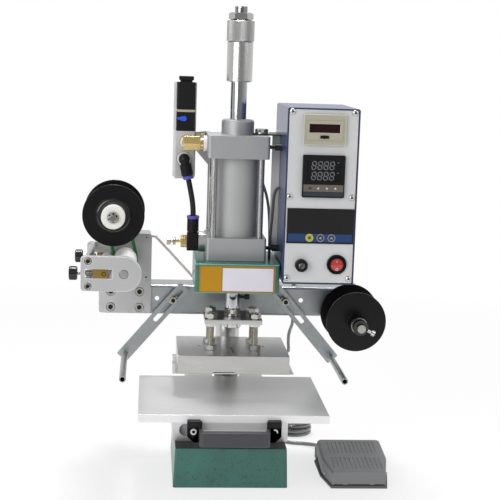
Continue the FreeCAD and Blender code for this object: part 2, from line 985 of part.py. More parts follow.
# Ram: rod, piston, nuts and pin
def piston_rod():
    piston_top = tube_top - piston_drop
    piston_bottom = piston_top - piston_height
    round_nut_bottom = stud_plate_bottom - ram_round_nut_height
    profile = [
        (0.0, round_nut_bottom), (ram_stud_radius, round_nut_bottom), (ram_stud_radius, ram_shoulder),
        (ram_radius, ram_shoulder), (ram_radius, piston_bottom), (piston_neck_radius, piston_bottom),
        (piston_neck_radius, piston_top), (upper_rod_radius, piston_top), (upper_rod_radius, knurl_bottom),
        (top_stud_radius, knurl_bottom), (top_stud_radius, lock_nut_top + top_stud_length),
        (0.0, lock_nut_top + top_stud_length),
    ]
    rod = revolve_z(profile)
    hole_z = ram_shoulder + ram_cross_hole_height
    rod = rod.cut(rod_y(ram_cross_hole_radius, -ram_radius, -ram_radius + ram_cross_hole_depth, 0.0, hole_z))
    pin_z = ram_shoulder + ram_pin_height
    rod = rod.cut(rod_x(ram_pin_radius + fit_clearance, ram_radius - ram_pin_seat, ram_radius, 0.0, pin_z))
    piston = rod_z(tube_radius - tube_wall - running_clearance, piston_bottom, piston_top)
    piston = piston.cut(rod_z(piston_neck_radius + fit_clearance, piston_bottom, piston_top))
    return group([rod, piston])


def ram_nuts():
    hole = ram_stud_radius + fit_clearance
    washer_top = stud_plate_top + ram_washer_thickness
    washer = rod_z(ram_washer_radius, stud_plate_top, washer_top).cut(rod_z(hole, stud_plate_top, washer_top))
    upper = nut_z(ram_nut_flats, hole, washer_top, ram_shoulder)
    round_bottom = stud_plate_bottom - ram_round_nut_height
    lower = rod_z(ram_round_nut_radius, round_bottom, stud_plate_bottom)
    lower = lower.cut(rod_z(hole, round_bottom, stud_plate_bottom))
    lock = nut_z(lock_nut_flats, top_stud_radius + fit_clearance, lock_nut_bottom, lock_nut_top)
    pin_z = ram_shoulder + ram_pin_height
    pin_x = ram_radius + ram_pin_reach
    pin = rod_x(ram_pin_radius, ram_radius - ram_pin_seat, pin_x, 0.0, pin_z)
    pin = pin.fuse(rod_x(ram_pin_head_radius, pin_x, pin_x + ram_pin_head_length, 0.0, pin_z))
    return group([washer, upper, lower, lock, pin])


def stroke_adjuster():
    bore = upper_rod_radius + running_clearance
    small_bore = top_stud_radius + running_clearance
    profile = [
        (bore, adjuster_bottom), (adjuster_radius, adjuster_bottom), (adjuster_radius, knurl_bottom),
        (knurl_radius, knurl_bottom), (knurl_radius, knurl_top), (small_bore, knurl_top),
        (small_bore, knurl_bottom + slide_clearance), (bore, knurl_bottom + slide_clearance),
    ]
    return revolve_z(profile)


# Head casting
def head_casting():
    left = head_offset - head_width / 2.0
    right = head_offset + head_width / 2.0
    plan = [
        V(left, -head_front, head_bottom), V(right, -head_front, head_bottom),
        V(right, head_taper_start, head_bottom), V(head_hub_radius, head_taper_end, head_bottom),
        V(head_hub_radius, column_back, head_bottom), V(-head_hub_radius, column_back, head_bottom),
        V(-head_hub_radius, head_taper_end, head_bottom), V(left, head_taper_start, head_bottom),
    ]
    body = prism(plan, V(0, 0, head_height))
    front_edges = [edge for edge in edges_along(body, UP) if abs(edge.BoundBox.YMin + head_front) < 1e-3]
    body = body.makeFillet(head_edge, front_edges)
    body = body.fuse(rod_z(head_hub_radius, crossbar_top, head_top, 0.0, column_back)).removeSplitter()
    body = body.cut(rod_z(head_ram_bore, head_bottom, head_top))
    column_top = head_bottom + column_grip
    body = body.cut(rod_z(column_radius + fit_clearance, crossbar_top, column_top, 0.0, column_back))
    slit_back = column_back + head_hub_radius
    body = body.cut(block(-head_slit / 2.0, head_slit / 2.0, column_back, slit_back, crossbar_top, head_top))
    bolt_top = crossbar_top + crossbar_bolt_hole
    for side in (-1, 1):
        bolt_x = side * crossbar_bolt_x
        body = body.cut(rod_z(arm_screw_radius + fit_clearance, crossbar_top, bolt_top, bolt_x, column_back))
    return body


# Air cylinder
def tie_rod_places():
    half = tie_rod_spacing / 2.0
    return [(sx * half, sy * half) for sx in (-1, 1) for sy in (-1, 1)]


def lower_cap():
    half = lower_cap_side / 2.0
    body = rounded_block(-half, half, -half, half, head_top, lower_cap_top, cap_corner, UP)
    body = body.cut(rod_z(ram_radius + running_clearance, head_top, lower_cap_top))
    body = body.cut(rod_z(tube_radius + running_clearance, lower_cap_top - tube_seat, lower_cap_top))
    seat_bottom = lower_cap_top - tie_rod_seat
    for x, y in tie_rod_places():
        body = body.cut(rod_z(tie_rod_radius + fit_clearance, seat_bottom, lower_cap_top, x, y))
    return body


def cylinder_tube():
    bottom = lower_cap_top - tube_seat
    top = tube_top + tube_seat
    return rod_z(tube_radius, bottom, top).cut(rod_z(tube_radius - tube_wall, bottom, top))


def top_cap():
    half = top_cap_side / 2.0
    body = rounded_block(-half, half, -half, half, tube_top, top_cap_top, cap_corner, UP)
    boss = Part.makeCylinder(cap_boss_radius, cap_boss_height, V(0, 0, top_cap_top), UP)
    boss = boss.makeChamfer(cap_boss_chamfer, edges_at(boss, "z", boss_top))
    body = body.fuse(boss)
    body = body.cut(rod_z(upper_rod_radius + running_clearance, tube_top, boss_top))
    body = body.cut(rod_z(tube_radius + running_clearance, tube_top, tube_top + tube_seat))
    for x, y in tie_rod_places():
        body = body.cut(rod_z(tie_rod_radius + fit_clearance, tube_top, tube_top + tie_rod_seat, x, y))
    return body


def tie_rods():
    bottom = lower_cap_top - tie_rod_seat
    top = tube_top + tie_rod_seat
    return group([rod_z(tie_rod_radius, bottom, top, x, y) for x, y in tie_rod_places()])


# Crossbar with its bolts
def plate_screw_places():
    places = []
    for column_place in (0, 1):
        for row in (0, 1):
            x = feed_axis_x + plate_screw_x - plate_screw_spacing * column_place
            places.append((x, feed_axis_z - plate_screw_low + plate_screw_rise * row))
    return places


def crossbar():
    front = crossbar_front
    back = crossbar_front + crossbar_depth
    outer = [V(-crossbar_left, front, crossbar_bottom), V(-crossbar_left, front, crossbar_top)]
    outer += [V(-crossbar_left, back, crossbar_top), V(-crossbar_left, back, crossbar_bottom)]
    length = V(crossbar_left + crossbar_right, 0, 0)
    solid = prism(outer, length)
    bends = [edge for edge in edges_along(solid, RIGHT) if abs(edge.BoundBox.YMin - front) < 1e-3]
    solid = solid.makeFillet(crossbar_bend, bends)
    web_back = front + crossbar_sheet
    flange_under = crossbar_top - crossbar_sheet
    hollow = block(-crossbar_left, crossbar_right, web_back, back, crossbar_bottom + crossbar_sheet,
                   flange_under)
    inner = [edge for edge in edges_along(hollow, RIGHT) if abs(edge.BoundBox.YMin - web_back) < 1e-3]
    solid = solid.cut(hollow.makeFillet(crossbar_bend - crossbar_sheet, inner))
    solid = solid.cut(rod_z(column_radius + fork_clearance, crossbar_bottom, crossbar_top, 0.0, column_back))
    screw_hole = arm_screw_radius + fit_clearance
    for side in (-1, 1):
        solid = solid.cut(rod_y(spare_hole_radius, front, web_back, side * spare_hole_x, arm_pivot_z))
        solid = solid.cut(rod_y(screw_hole, front, web_back, side * arm_pivot_x, arm_pivot_z))
        solid = solid.cut(rod_z(screw_hole, flange_under, crossbar_top, side * crossbar_bolt_x, column_back))
    for x, z in plate_screw_places():
        solid = solid.cut(rod_y(plate_screw_shank + fit_clearance, front, web_back, x, z))
    stud_hole = supply_stud_radius + fit_clearance
    solid = solid.cut(rod_y(stud_hole, front, web_back, supply_axis_x, supply_axis_z))
    cable = case_entry + V(0.0, heater_entry_back, 0.0)
    return solid.cut(rod_z(lead_hole_radius, crossbar_bottom, crossbar_top, cable.x, cable.y))


def frame_bolts():
    solids = []
    under = crossbar_top - crossbar_sheet
    web_back = crossbar_front + crossbar_sheet
    for side in (-1, 1):
        x = side * crossbar_bolt_x
        shank = rod_z(arm_screw_radius, under, crossbar_top + crossbar_bolt_reach, x, column_back)
        head = hex_z(crossbar_bolt_flats, under - crossbar_bolt_head, under, x, column_back)
        solids.append(shank.fuse(head))
        pivot_x = side * arm_pivot_x
        spacer_front = crossbar_front - arm_spacer_length
        spacer = rod_y(arm_spacer_radius, spacer_front, crossbar_front, pivot_x, arm_pivot_z)
        head_back = arm_back - arm_sheet - slide_clearance
        screw = rod_y(arm_screw_radius, head_back, web_back, pivot_x, arm_pivot_z)
        head = rod_y(arm_head_radius, head_back - arm_head_length, head_back, pivot_x, arm_pivot_z)
        solids.append(spacer.fuse(screw).fuse(head).removeSplitter())
    for x, z in plate_screw_places():
        seat = plate_front_face + plate_screw_length
        head = rod_y(plate_screw_radius, plate_front_face, seat, x, z)
        solids.append(head.fuse(rod_y(plate_screw_shank, seat, web_back, x, z)))
    bolt_bottom = top_cap_top + bracket_sheet
    bolt_top = bolt_bottom + bracket_bolt_height
    solids.append(hex_z(bracket_bolt_flats, bolt_bottom, bolt_top, bracket_bolt_x, 0.0))
    for cap_middle, cap_side in ((head_top + lower_cap_height / 2.0, lower_cap_side),
                                 (tube_top + top_cap_height / 2.0, top_cap_side)):
        head_x = box_left - bracket_screw_head_length
        shank = rod_x(bracket_screw_radius, cap_side / 2.0, head_x, -bracket_screw_front, cap_middle)
        head = rod_x(bracket_screw_head_radius, head_x, box_left, -bracket_screw_front, cap_middle)
        solids.append(shank.fuse(head).removeSplitter())
    return group(solids)


# Slotted arms that hold the guide rods
def slotted_arm(side):
    front = arm_back - arm_sheet
    strip = block(-arm_above, arm_below, front, arm_back, -arm_width / 2.0, arm_width / 2.0)
    strip = strip.makeFillet(arm_corner, edges_along(strip, BACK))
    slot_half = arm_slot_width / 2.0
    slot = block(-arm_slot_above, arm_slot_below, front, arm_back, -slot_half, slot_half)
    slot = slot.makeFillet(slot_half - fit_clearance, edges_along(slot, BACK))
    rod = rod_y(guide_rod_radius, front - guide_rod_length, front, arm_rod_reach, 0.0)
    rod = rod.cut(rod_y(guide_rod_bore, front - guide_rod_length, front, arm_rod_reach, 0.0))
    arm = strip.cut(slot).fuse(rod).removeSplitter()
    arm.rotate(V(0, 0, 0), BACK, arm_angle)
    if side < 0:
        arm = arm.mirror(V(0, 0, 0), RIGHT)
    arm.translate(V(side * arm_pivot_x, 0, arm_pivot_z))
    return arm


# Foil feed unit
def feed_slot(y0, y1):
    half = slider_height / 2.0 + slide_clearance / 2.0
    return block(slot_start_x, slot_start_x + slot_length, y0, y1, feed_axis_z - half, feed_axis_z + half)


def knob_hole(y):
    left = feed_axis_x - front_plate_left - cut_margin
    return rod_x(knob_screw_radius + running_clearance, left, slot_start_x, y, feed_axis_z)


def spacer_places():
    x = feed_axis_x - spacer_x
    return [(x, feed_axis_z + spacer_rise), (x, feed_axis_z - spacer_rise)]


def feed_front_plate():
    y0 = front_plate_front
    y1 = front_plate_back
    radius = front_plate_radius
    plate_left = feed_axis_x - front_plate_left
    left = block(plate_left, feed_axis_x, y0, y1, feed_axis_z - radius, feed_axis_z + radius)
    corners = [edge for edge in edges_along(left, BACK) if edge.BoundBox.XMin < feed_axis_x - cut_margin]
    left = left.makeFillet(front_plate_corner, corners)
    body = left.fuse(rod_y(radius, y0, y1, feed_axis_x, feed_axis_z)).removeSplitter()
    body = body.cut(rod_y(axle_radius + running_clearance, y0, y1, feed_axis_x, feed_axis_z))
    body = body.cut(feed_slot(y0, y1)).cut(knob_hole((y0 + y1) / 2.0))
    for x, z in spacer_places():
        body = body.cut(rod_y(spacer_head_radius + screw_ring, y0, y0 + spacer_head_length, x, z))
        body = body.cut(rod_y(spacer_shank_radius + fit_clearance, y0, y1, x, z))
    return body


def feed_back_plate():
    y0 = plate_front_face
    thickness = V(0, plate_thickness_back, 0)
    right = feed_axis_x + back_plate_right
    top = feed_axis_z + back_plate_top
    left = feed_axis_x - back_plate_left
    foot_left = feed_axis_x - back_plate_foot_left
    bottom = feed_axis_z - back_plate_bottom
    left_top = feed_axis_z + back_plate_left_top
    left_bottom = feed_axis_z - back_plate_left_bottom
    tongue_left = reel_axis_x - reel_tongue_radius
    tongue_right = reel_axis_x + reel_tongue_radius
    outline = [
        V(foot_left, y0, bottom), V(right, y0, bottom), V(right, y0, top), V(tongue_right, y0, top),
        V(tongue_right, y0, reel_axis_z), V(tongue_left, y0, reel_axis_z), V(tongue_left, y0, left_top),
        V(left, y0, left_top), V(left, y0, left_bottom), V(foot_left, y0, left_bottom),
    ]
    body = prism(outline, thickness)
    rounded = ((foot_left, bottom), (right, bottom), (right, top), (left, left_top), (left, left_bottom))
    outer_corners = []
    for edge in edges_along(body, BACK):
        x = edge.BoundBox.XMin
        z = edge.BoundBox.ZMin
        for corner_x, corner_z in rounded:
            if abs(x - corner_x) < 1e-3 and abs(z - corner_z) < 1e-3:
                outer_corners.append(edge)
    body = body.makeFillet(back_plate_corner, outer_corners)
    y1 = y0 + plate_thickness_back
    body = body.fuse(rod_y(reel_tongue_radius, y0, y1, reel_axis_x, reel_axis_z)).removeSplitter()
    body = body.cut(rod_y(take_up_shaft_radius + fit_clearance, y0, y1, reel_axis_x, reel_axis_z))
    body = body.cut(rod_y(motor_axle_radius + running_clearance, y0, y1, feed_axis_x, feed_axis_z))
    for x, z in plate_screw_places():
        body = body.cut(rod_y(plate_screw_radius + screw_ring, y0, y0 + plate_screw_length, x, z))
        body = body.cut(rod_y(plate_screw_shank + fit_clearance, y0, y1, x, z))
    return body.cut(feed_slot(y0, y1)).cut(knob_hole((y0 + y1) / 2.0))


def feed_spacers():
    solids = []
    for x, z in spacer_places():
        bar = rod_y(spacer_radius, front_plate_back, plate_front_face, x, z)
        seat = front_plate_front + spacer_head_length
        head = rod_y(spacer_head_radius, front_plate_front, seat, x, z)
        shank = rod_y(spacer_shank_radius, seat, front_plate_back, x, z)
        solids.append(bar.fuse(shank).fuse(head).removeSplitter())
    solids.append(rod_y(take_up_shaft_radius, -take_up_shaft_front, crossbar_front, reel_axis_x, reel_axis_z))
    clip_back = -take_up_front - take_up_hub_length - slide_clearance
    clip_front = clip_back - clip_thickness
    clip = rod_y(clip_radius, clip_front, clip_back, reel_axis_x, reel_axis_z)
    solids.append(clip.cut(rod_y(take_up_shaft_radius, clip_front, clip_back, reel_axis_x, reel_axis_z)))
    return group(solids)


def feed_motor():
    half = motor_side / 2.0
    y0 = crossbar_front
    y1 = y0 + motor_gearbox_depth
    gearbox = rounded_block(feed_axis_x - half, feed_axis_x + half, y0, y1, feed_axis_z - half,
                            feed_axis_z + half, motor_corner, BACK)
    can = rod_y(motor_can_radius, y1, y1 + motor_can_length, feed_axis_x, feed_axis_z)
    bore = motor_axle_radius + running_clearance
    return gearbox.fuse(can).cut(rod_y(bore, y0, y0 + motor_axle_depth, feed_axis_x, feed_axis_z))


def pulley_profile(bore):
    y0 = belt_back - pulley_width / 2.0
    y1 = belt_back + pulley_width / 2.0
    return [(bore, y0), (pulley_radius, y0), (pulley_radius, y1), (bore, y1)]


def belt_groove(x, z):
    return Part.makeTorus(belt_pitch_radius, belt_radius + slide_clearance, V(x, belt_back, z), BACK)


def drive_roller():
    roller_front = front_plate_back + roller_end_gap
    roller_back = roller_front + roller_length
    axle_back = crossbar_front + motor_axle_depth - cut_margin
    axle_step = plate_front_face - slide_clearance
    profile = [
        (0.0, front_plate_front), (axle_radius, front_plate_front), (axle_radius, roller_front),
        (drive_roller_radius, roller_front), (drive_roller_radius, roller_back), (axle_radius, roller_back),
        (axle_radius, axle_step), (motor_axle_radius, axle_step),
        (motor_axle_radius, axle_back), (0.0, axle_back),
    ]
    body = revolve_y(profile, feed_axis_x, feed_axis_z)
    pulley = revolve_y(pulley_profile(axle_radius - cut_margin), feed_axis_x, feed_axis_z)
    return body.fuse(pulley).removeSplitter().cut(belt_groove(feed_axis_x, feed_axis_z))


def pinch_roller():
    y0 = front_plate_back + roller_end_gap
    y1 = y0 + roller_length
    body = rod_y(pinch_radius, y0, y1, pinch_axis_x, feed_axis_z)
    return body.cut(rod_y(pinch_axle_radius + running_clearance, y0, y1, pinch_axis_x, feed_axis_z))


def pinch_slider():
    solids = []
    half = slider_height / 2.0
    for y0, y1 in ((front_plate_front, front_plate_back), (plate_front_face, crossbar_front)):
        shoe = block(slider_left, slider_left + slider_length, y0 - slider_overhang, y1 - slide_clearance,
                     feed_axis_z - half, feed_axis_z + half)
        solids.append(shoe)
    axle = rod_y(pinch_axle_radius, front_plate_back - slide_clearance, plate_front_face - slider_overhang,
                 pinch_axis_x, feed_axis_z)
    solids.append(axle)
    return group(solids)


def tension_knob(y):
    plate_left = feed_axis_x - front_plate_left
    head_right = plate_left - knob_gap
    head = rod_x(knob_radius, head_right - knob_length, head_right, y, feed_axis_z)
    head = head.makeChamfer(knob_edge, head.Edges[0:1])
    screw = rod_x(knob_screw_radius, head_right, slot_start_x + knob_screw_reach, y, feed_axis_z)
    return head.fuse(screw)


def drive_belt():
    lower = V(feed_axis_x, belt_back, feed_axis_z)
    upper = V(reel_axis_x, belt_back, reel_axis_z)
    along = (upper - lower).normalize()
    side = BACK.cross(along).normalize()
    r = belt_pitch_radius
    edges = [
        Part.Arc(lower + side * r, lower - along * r, lower - side * r).toShape(),
        Part.LineSegment(lower - side * r, upper - side * r).toShape(),
        Part.Arc(upper - side * r, upper + along * r, upper + side * r).toShape(),
        Part.LineSegment(upper + side * r, lower + side * r).toShape(),
    ]
    wire = Part.Wire(edges)
    section = Part.Wire(Part.Circle(lower + side * r, along, belt_radius).toShape())
    return wire.makePipeShell([section], True, False)


# Reels
def reel_profile(front, bore, boss_radius, boss_front, back_reach):
    back = front + reel_width
    return [
        (bore, boss_front), (boss_radius, boss_front), (boss_radius, front), (reel_radius, front),
        (reel_radius, front + reel_flange), (reel_core_radius, front + reel_flange),
        (reel_core_radius, back - reel_flange), (reel_radius, back - reel_flange), (reel_radius, back),
        (reel_hub_radius, back), (reel_hub_radius, back_reach), (bore, back_reach),
    ]


def take_up_reel():
    bore = take_up_shaft_radius + running_clearance
    front = -take_up_front
    boss_front = front - take_up_boss_height
    back_reach = plate_front_face - slide_clearance
    profile = reel_profile(front, bore, take_up_boss_radius, boss_front, back_reach)
    body = revolve_y(profile, reel_axis_x, reel_axis_z)
    pulley = revolve_y(pulley_profile(reel_hub_radius - cut_margin), reel_axis_x, reel_axis_z)
    body = body.fuse(pulley).removeSplitter().cut(belt_groove(reel_axis_x, reel_axis_z))
    hub = rod_y(take_up_hub_radius, front - take_up_hub_length, boss_front, reel_axis_x, reel_axis_z)
    hub = hub.cut(rod_y(bore, front - take_up_hub_length, boss_front, reel_axis_x, reel_axis_z))
    return group([body, hub])


def supply_reel():
    bore = supply_shaft_radius + running_clearance
    boss_front = supply_front - supply_boss_length
    back_reach = supply_front + reel_width + supply_hub_reach
    profile = reel_profile(supply_front, bore, supply_boss_radius, boss_front, back_reach)
    return revolve_y(profile, supply_axis_x, supply_axis_z)


def supply_shaft():
    x = supply_axis_x
    z = supply_axis_z
    shoulder_front = supply_front + reel_width + supply_hub_reach + slide_clearance
    shaft = rod_y(supply_shaft_radius, -supply_shaft_front, crossbar_front, x, z)
    shaft = shaft.fuse(rod_y(supply_shoulder_radius, shoulder_front, crossbar_front, x, z))
    nut_front = crossbar_front + crossbar_sheet
    stud = rod_y(supply_stud_radius, crossbar_front, nut_front + supply_stud_length, x, z)
    nut = hexagon(supply_nut_flats, V(x, nut_front, z), V(0, supply_nut_height, 0), RIGHT)
    shaft = shaft.fuse(stud).fuse(nut).removeSplitter()
    collar_back = supply_front - supply_boss_length - slide_clearance
    collar_front = collar_back - supply_collar_length
    collar = rod_y(supply_collar_radius, collar_front, collar_back, x, z)
    collar = collar.cut(rod_y(supply_shaft_radius + fit_clearance, collar_front, collar_back, x, z))
    tilt = math.radians(thumb_tilt)
    out = V(math.cos(tilt), 0, -math.sin(tilt))
    centre = V(x, (collar_front + collar_back) / 2.0, z)
    shank_start = centre + out * (supply_collar_radius - thumb_bite)
    screw = Part.makeCylinder(thumb_screw_radius, thumb_screw_length, shank_start, out)
    head_start = shank_start + out * thumb_screw_length
    head = Part.makeCylinder(thumb_head_radius, thumb_head_length, head_start, out)
    return group([shaft, collar.fuse(screw).fuse(head).removeSplitter()])


# Control box
def instrument(x, z, width, height, depth, window):
    window_width, window_height, window_rise = window
    face = panel_front - instrument_bezel
    half_x = width / 2.0
    half_z = height / 2.0
    bezel = rounded_block(x - half_x, x + half_x, face, panel_front, z - half_z, z + half_z,
                          instrument_corner, BACK)
    inset = instrument_flange
    body = block(x - half_x + inset, x + half_x - inset, panel_front, panel_front + depth,
                 z - half_z + inset, z + half_z - inset)
    middle = z + window_rise
    recess = block(x - window_width / 2.0, x + window_width / 2.0, face, face + counter_window_depth,
                   middle - window_height / 2.0, middle + window_height / 2.0)
    return bezel.fuse(body).removeSplitter().cut(recess)


def control_case():
    left = box_left
    right = box_left + box_width
    top = box_bottom + box_height
    back = box_depth - box_front
    wall = box_wall
    outer = rounded_block(left, right, -box_front, back, box_bottom, top, box_corner, BACK)
    inner = rounded_block(left + wall, right - wall, -box_front, back - wall, box_bottom + wall, top - wall,
                          box_corner - wall, BACK)
    hole = rod_y(heater_cable_radius + fit_clearance, back - wall, back, case_entry.x, case_entry.z)
    return outer.cut(inner).cut(hole)


def panel_places():
    return {
        "counter": (box_left + box_width / 2.0 + counter_shift, box_bottom + counter_rise),
        "controller": (box_left + box_width / 2.0 + controller_shift, box_bottom + controller_rise),
        "fuse": (box_left + fuse_x, box_bottom + fuse_rise),
        "rocker": (box_left + rocker_x, box_bottom + rocker_rise),
    }


def timer_button_x(place):
    return box_left + timer_button_first + timer_button_step * place


def control_panel():
    margin = box_wall + panel_gap
    left = box_left + margin
    right = box_left + box_width - margin
    bottom = box_bottom + margin
    top = box_bottom + box_height - margin
    panel = rounded_block(left, right, panel_front, panel_back, bottom, top, box_corner - box_wall, BACK)
    places = panel_places()
    cutouts = (("counter", counter_width, counter_height), ("controller", controller_side, controller_side))
    for name, width, height in cutouts:
        x, z = places[name]
        half_x = width / 2.0 - instrument_flange + fit_clearance
        half_z = height / 2.0 - instrument_flange + fit_clearance
        panel = panel.cut(block(x - half_x, x + half_x, panel_front, panel_back, z - half_z, z + half_z))
    timer_left = box_left + timer_plate_left
    timer_bottom = box_bottom + timer_plate_rise
    timer_front = panel_front - timer_plate_thickness
    timer_right = timer_left + timer_plate_width
    timer_top = timer_bottom + timer_plate_height
    panel = panel.fuse(block(timer_left, timer_right, timer_front, panel_front, timer_bottom, timer_top))
    button_hole = timer_button_radius + slide_clearance
    for place in range(timer_button_count):
        panel = panel.cut(rod_y(button_hole, timer_front, panel_back, timer_button_x(place),
                                box_bottom + timer_button_rise))
    x, z = places["fuse"]
    panel = panel.cut(rod_y(fuse_stem_radius + running_clearance, panel_front, panel_back, x, z))
    x, z = places["rocker"]
    bezel_front = panel_front - rocker_bezel_height
    panel = panel.fuse(rod_y(rocker_bezel_radius, bezel_front, panel_front, x, z))
    return panel.cut(rod_y(rocker_radius + rocker_clearance, bezel_front, panel_back, x, z))


def counter_body():
    x, z = panel_places()["counter"]
    window = (counter_window_width, counter_window_height, counter_window_rise)
    body = instrument(x, z, counter_width, counter_height, counter_depth, window)
    face = panel_front - instrument_bezel
    hole_back = face + reset_length + reset_travel
    return body.cut(rod_y(reset_radius + slide_clearance, face, hole_back, x, z - reset_drop))


def counter_reset():
    x, z = panel_places()["counter"]
    face = panel_front - instrument_bezel
    button = rod_y(reset_radius, face - reset_proud, face + reset_length - reset_proud, x, z - reset_drop)
    return button.makeFillet(button_edge, edges_at(button, "y", face - reset_proud))


def temp_controller():
    x, z = panel_places()["controller"]
    window = (controller_window_width, controller_window_height, controller_window_rise)
    return instrument(x, z, controller_side, controller_side, controller_depth, window)


def timer_button(place):
    front = panel_front - timer_button_proud
    button = rod_y(timer_button_radius, front, front + timer_button_length, timer_button_x(place),
                   box_bottom + timer_button_rise)
    return button.makeFillet(button_edge, edges_at(button, "y", front))


def fuse_cap():
    x, z = panel_places()["fuse"]
    back = panel_front - slide_clearance
    front = back - fuse_length
    cap = rod_y(fuse_radius, front, back, x, z)
    cap = cap.makeChamfer(fuse_edge, edges_at(cap, "y", front))
    groove = block(x - fuse_slot_reach, x + fuse_slot_reach, front, front + fuse_slot_depth,
                   z - fuse_slot_half, z + fuse_slot_half)
    return cap.cut(groove).fuse(rod_y(fuse_stem_radius, back, back + fuse_stem_length, x, z))


def rocker_switch():
    x, z = panel_places()["rocker"]
    front = panel_front - rocker_height
    back = panel_front + rocker_depth
    cap = rod_y(rocker_radius, front, back, x, z)
    reach = rocker_radius + cut_margin
    rise = rocker_radius * math.tan(math.radians(rocker_face_angle))
    for side in (-1, 1):
        far = z + side * reach
        wedge = [V(x - reach, front, z), V(x - reach, front, far), V(x - reach, front + rise, far)]
        cap = cap.cut(prism(wedge, V(2.0 * reach, 0, 0)))
    return cap


# Bracket that carries the box on the cylinder
def box_bracket():
    leg_back = bracket_strip_front + bracket_leg_depth
    tab_top = top_cap_top + bracket_sheet
    tab_back = bracket_tab_width / 2.0
    tab = block(bracket_tab_start, box_left, -tab_back, leg_back, top_cap_top, tab_top)
    notch_right = top_cap_side / 2.0 + bracket_notch
    tab = tab.cut(block(bracket_tab_start, notch_right, tab_back, leg_back, top_cap_top, tab_top))
    boss = rod_z(cap_boss_radius + bracket_boss_gap, top_cap_top, tab_top)
    bottom = top_cap_top - bracket_drop
    strip_back = bracket_strip_front + bracket_sheet
    strip_left = box_left - bracket_strip_width
    strip = block(strip_left, box_left, bracket_strip_front, strip_back, bottom, top_cap_top)
    leg = block(box_left - bracket_sheet, box_left, bracket_strip_front, leg_back, bottom, top_cap_top)
    return tab.cut(boss).fuse(strip).fuse(leg).removeSplitter()


# Solenoid valve and its fittings
def valve_body():
    left = valve_x - valve_width / 2.0
    body = rounded_block(left, left + valve_width, valve_front, valve_back, valve_bottom, pilot_bottom,
                         valve_corner, UP)
    lower_middle = head_top + lower_cap_height / 2.0
    upper_middle = tube_top + top_cap_height / 2.0
    strip_left = -valve_plate_right - valve_plate_strip
    low = top_cap_top - valve_plate_low
    high = top_cap_top - valve_plate_high
    foot = lower_middle - valve_plate_foot
    outline = [
        V(-valve_plate_right, valve_back, foot), V(strip_left, valve_back, foot),
        V(strip_left, valve_back, low), V(-valve_plate_knee, valve_back, high), V(left, valve_back, high),
        V(left, valve_back, top_cap_top - valve_plate_drop), V(-valve_plate_tip, valve_back, top_cap_top),
        V(-valve_plate_right, valve_back, top_cap_top),
    ]
    plate = prism(outline, V(0, valve_plate_sheet, 0))
    boss_x = (strip_left - valve_plate_right) / 2.0
    for middle, side in ((lower_middle, lower_cap_side), (upper_middle, top_cap_side)):
        plate = plate.fuse(rod_y(valve_boss_radius, side / 2.0, valve_back, boss_x, middle))
    return group([body, plate.removeSplitter()])


def valve_coil():
    half = coil_width / 2.0
    x = valve_x + coil_offset
    front = valve_front
    back = valve_back
    pilot_top = pilot_bottom + pilot_height
    pilot = rounded_block(x - half, x + half, front, back, pilot_bottom, pilot_top, pilot_corner, UP)
    seam_half = half - seam_inset
    seam = block(x - seam_half, x + seam_half, front + seam_inset, back - seam_inset, pilot_top, coil_bottom)
    top = coil_bottom + coil_height
    coil = rounded_block(x - half, x + half, front, back, coil_bottom, top, coil_corner, UP)
    body = pilot.fuse(seam).fuse(coil)
    plug_half = plug_width / 2.0
    waist_half = plug_half - plug_waist
    waist_inset = plug_inset + plug_waist
    waist_top = top + plug_waist_height
    waist = block(x - waist_half, x + waist_half, front + waist_inset, back - waist_inset, top, waist_top)
    plug_top = top + plug_height
    plug = block(x - plug_half, x + plug_half, front + plug_inset, back - plug_inset, waist_top, plug_top)
    body = body.fuse(waist).fuse(plug).removeSplitter()
    stem_z = pilot_bottom + override_rise
    stem_back = front + override_stem_length + cut_margin
    return body.cut(rod_y(override_stem_radius + running_clearance, front, stem_back, override_x, stem_z))


def valve_override():
    z = pilot_bottom + override_rise
    back = valve_front - slide_clearance
    front = back - override_thickness
    head = rod_y(override_radius, front, back, override_x, z)
    tip_x = override_x - override_tail
    tail = rod_y(override_tail_radius, front, back, tip_x, z)
    lean = math.acos((override_radius - override_tail_radius) / override_tail)
    dx = math.cos(lean)
    dz = math.sin(lean)
    web = [
        V(override_x - override_radius * dx, front, z + override_radius * dz),
        V(tip_x - override_tail_radius * dx, front, z + override_tail_radius * dz),
        V(tip_x - override_tail_radius * dx, front, z - override_tail_radius * dz),
        V(override_x - override_radius * dx, front, z - override_radius * dz),
    ]
    lever = head.fuse(tail).fuse(prism(web, V(0, override_thickness, 0))).removeSplitter()
    return lever.fuse(rod_y(override_stem_radius, back, valve_front + override_stem_length, override_x, z))


def brass_elbow():
    z = valve_bottom + elbow_rise
    cap_face = -top_cap_side / 2.0
    collar_left = cap_face - elbow_collar_length
    collar = rod_x(elbow_collar_radius, collar_left, cap_face, 0.0, z)
    barrel = hex_x(elbow_flats, elbow_x, collar_left, 0.0, z)
    boss = rod_y(elbow_boss_radius, -elbow_front, valve_front, elbow_x, z)
    return boss.fuse(barrel).fuse(collar).removeSplitter()


def tube_start():
    lean = math.radians(tube_lean)
    down = V(math.sin(lean), 0, -math.cos(lean))
    centre = V(valve_x - push_shift, 0.0, valve_bottom + push_rise)
    return centre, down


def push_elbow():
    centre, down = tube_start()
    stem = rod_y(push_ball_radius, centre.y, valve_front, centre.x, centre.z)
    ball = Part.makeSphere(push_ball_radius, centre)
    sleeve_start = centre + down * push_sleeve_start
    sleeve = Part.makeCylinder(push_sleeve_radius, push_sleeve_length, sleeve_start, down)
    sleeve_end = sleeve_start + down * push_sleeve_length
    collar = Part.makeCylinder(push_collar_radius, push_collar_length, sleeve_end, down)
    return stem.fuse(ball).fuse(sleeve).fuse(collar).removeSplitter()


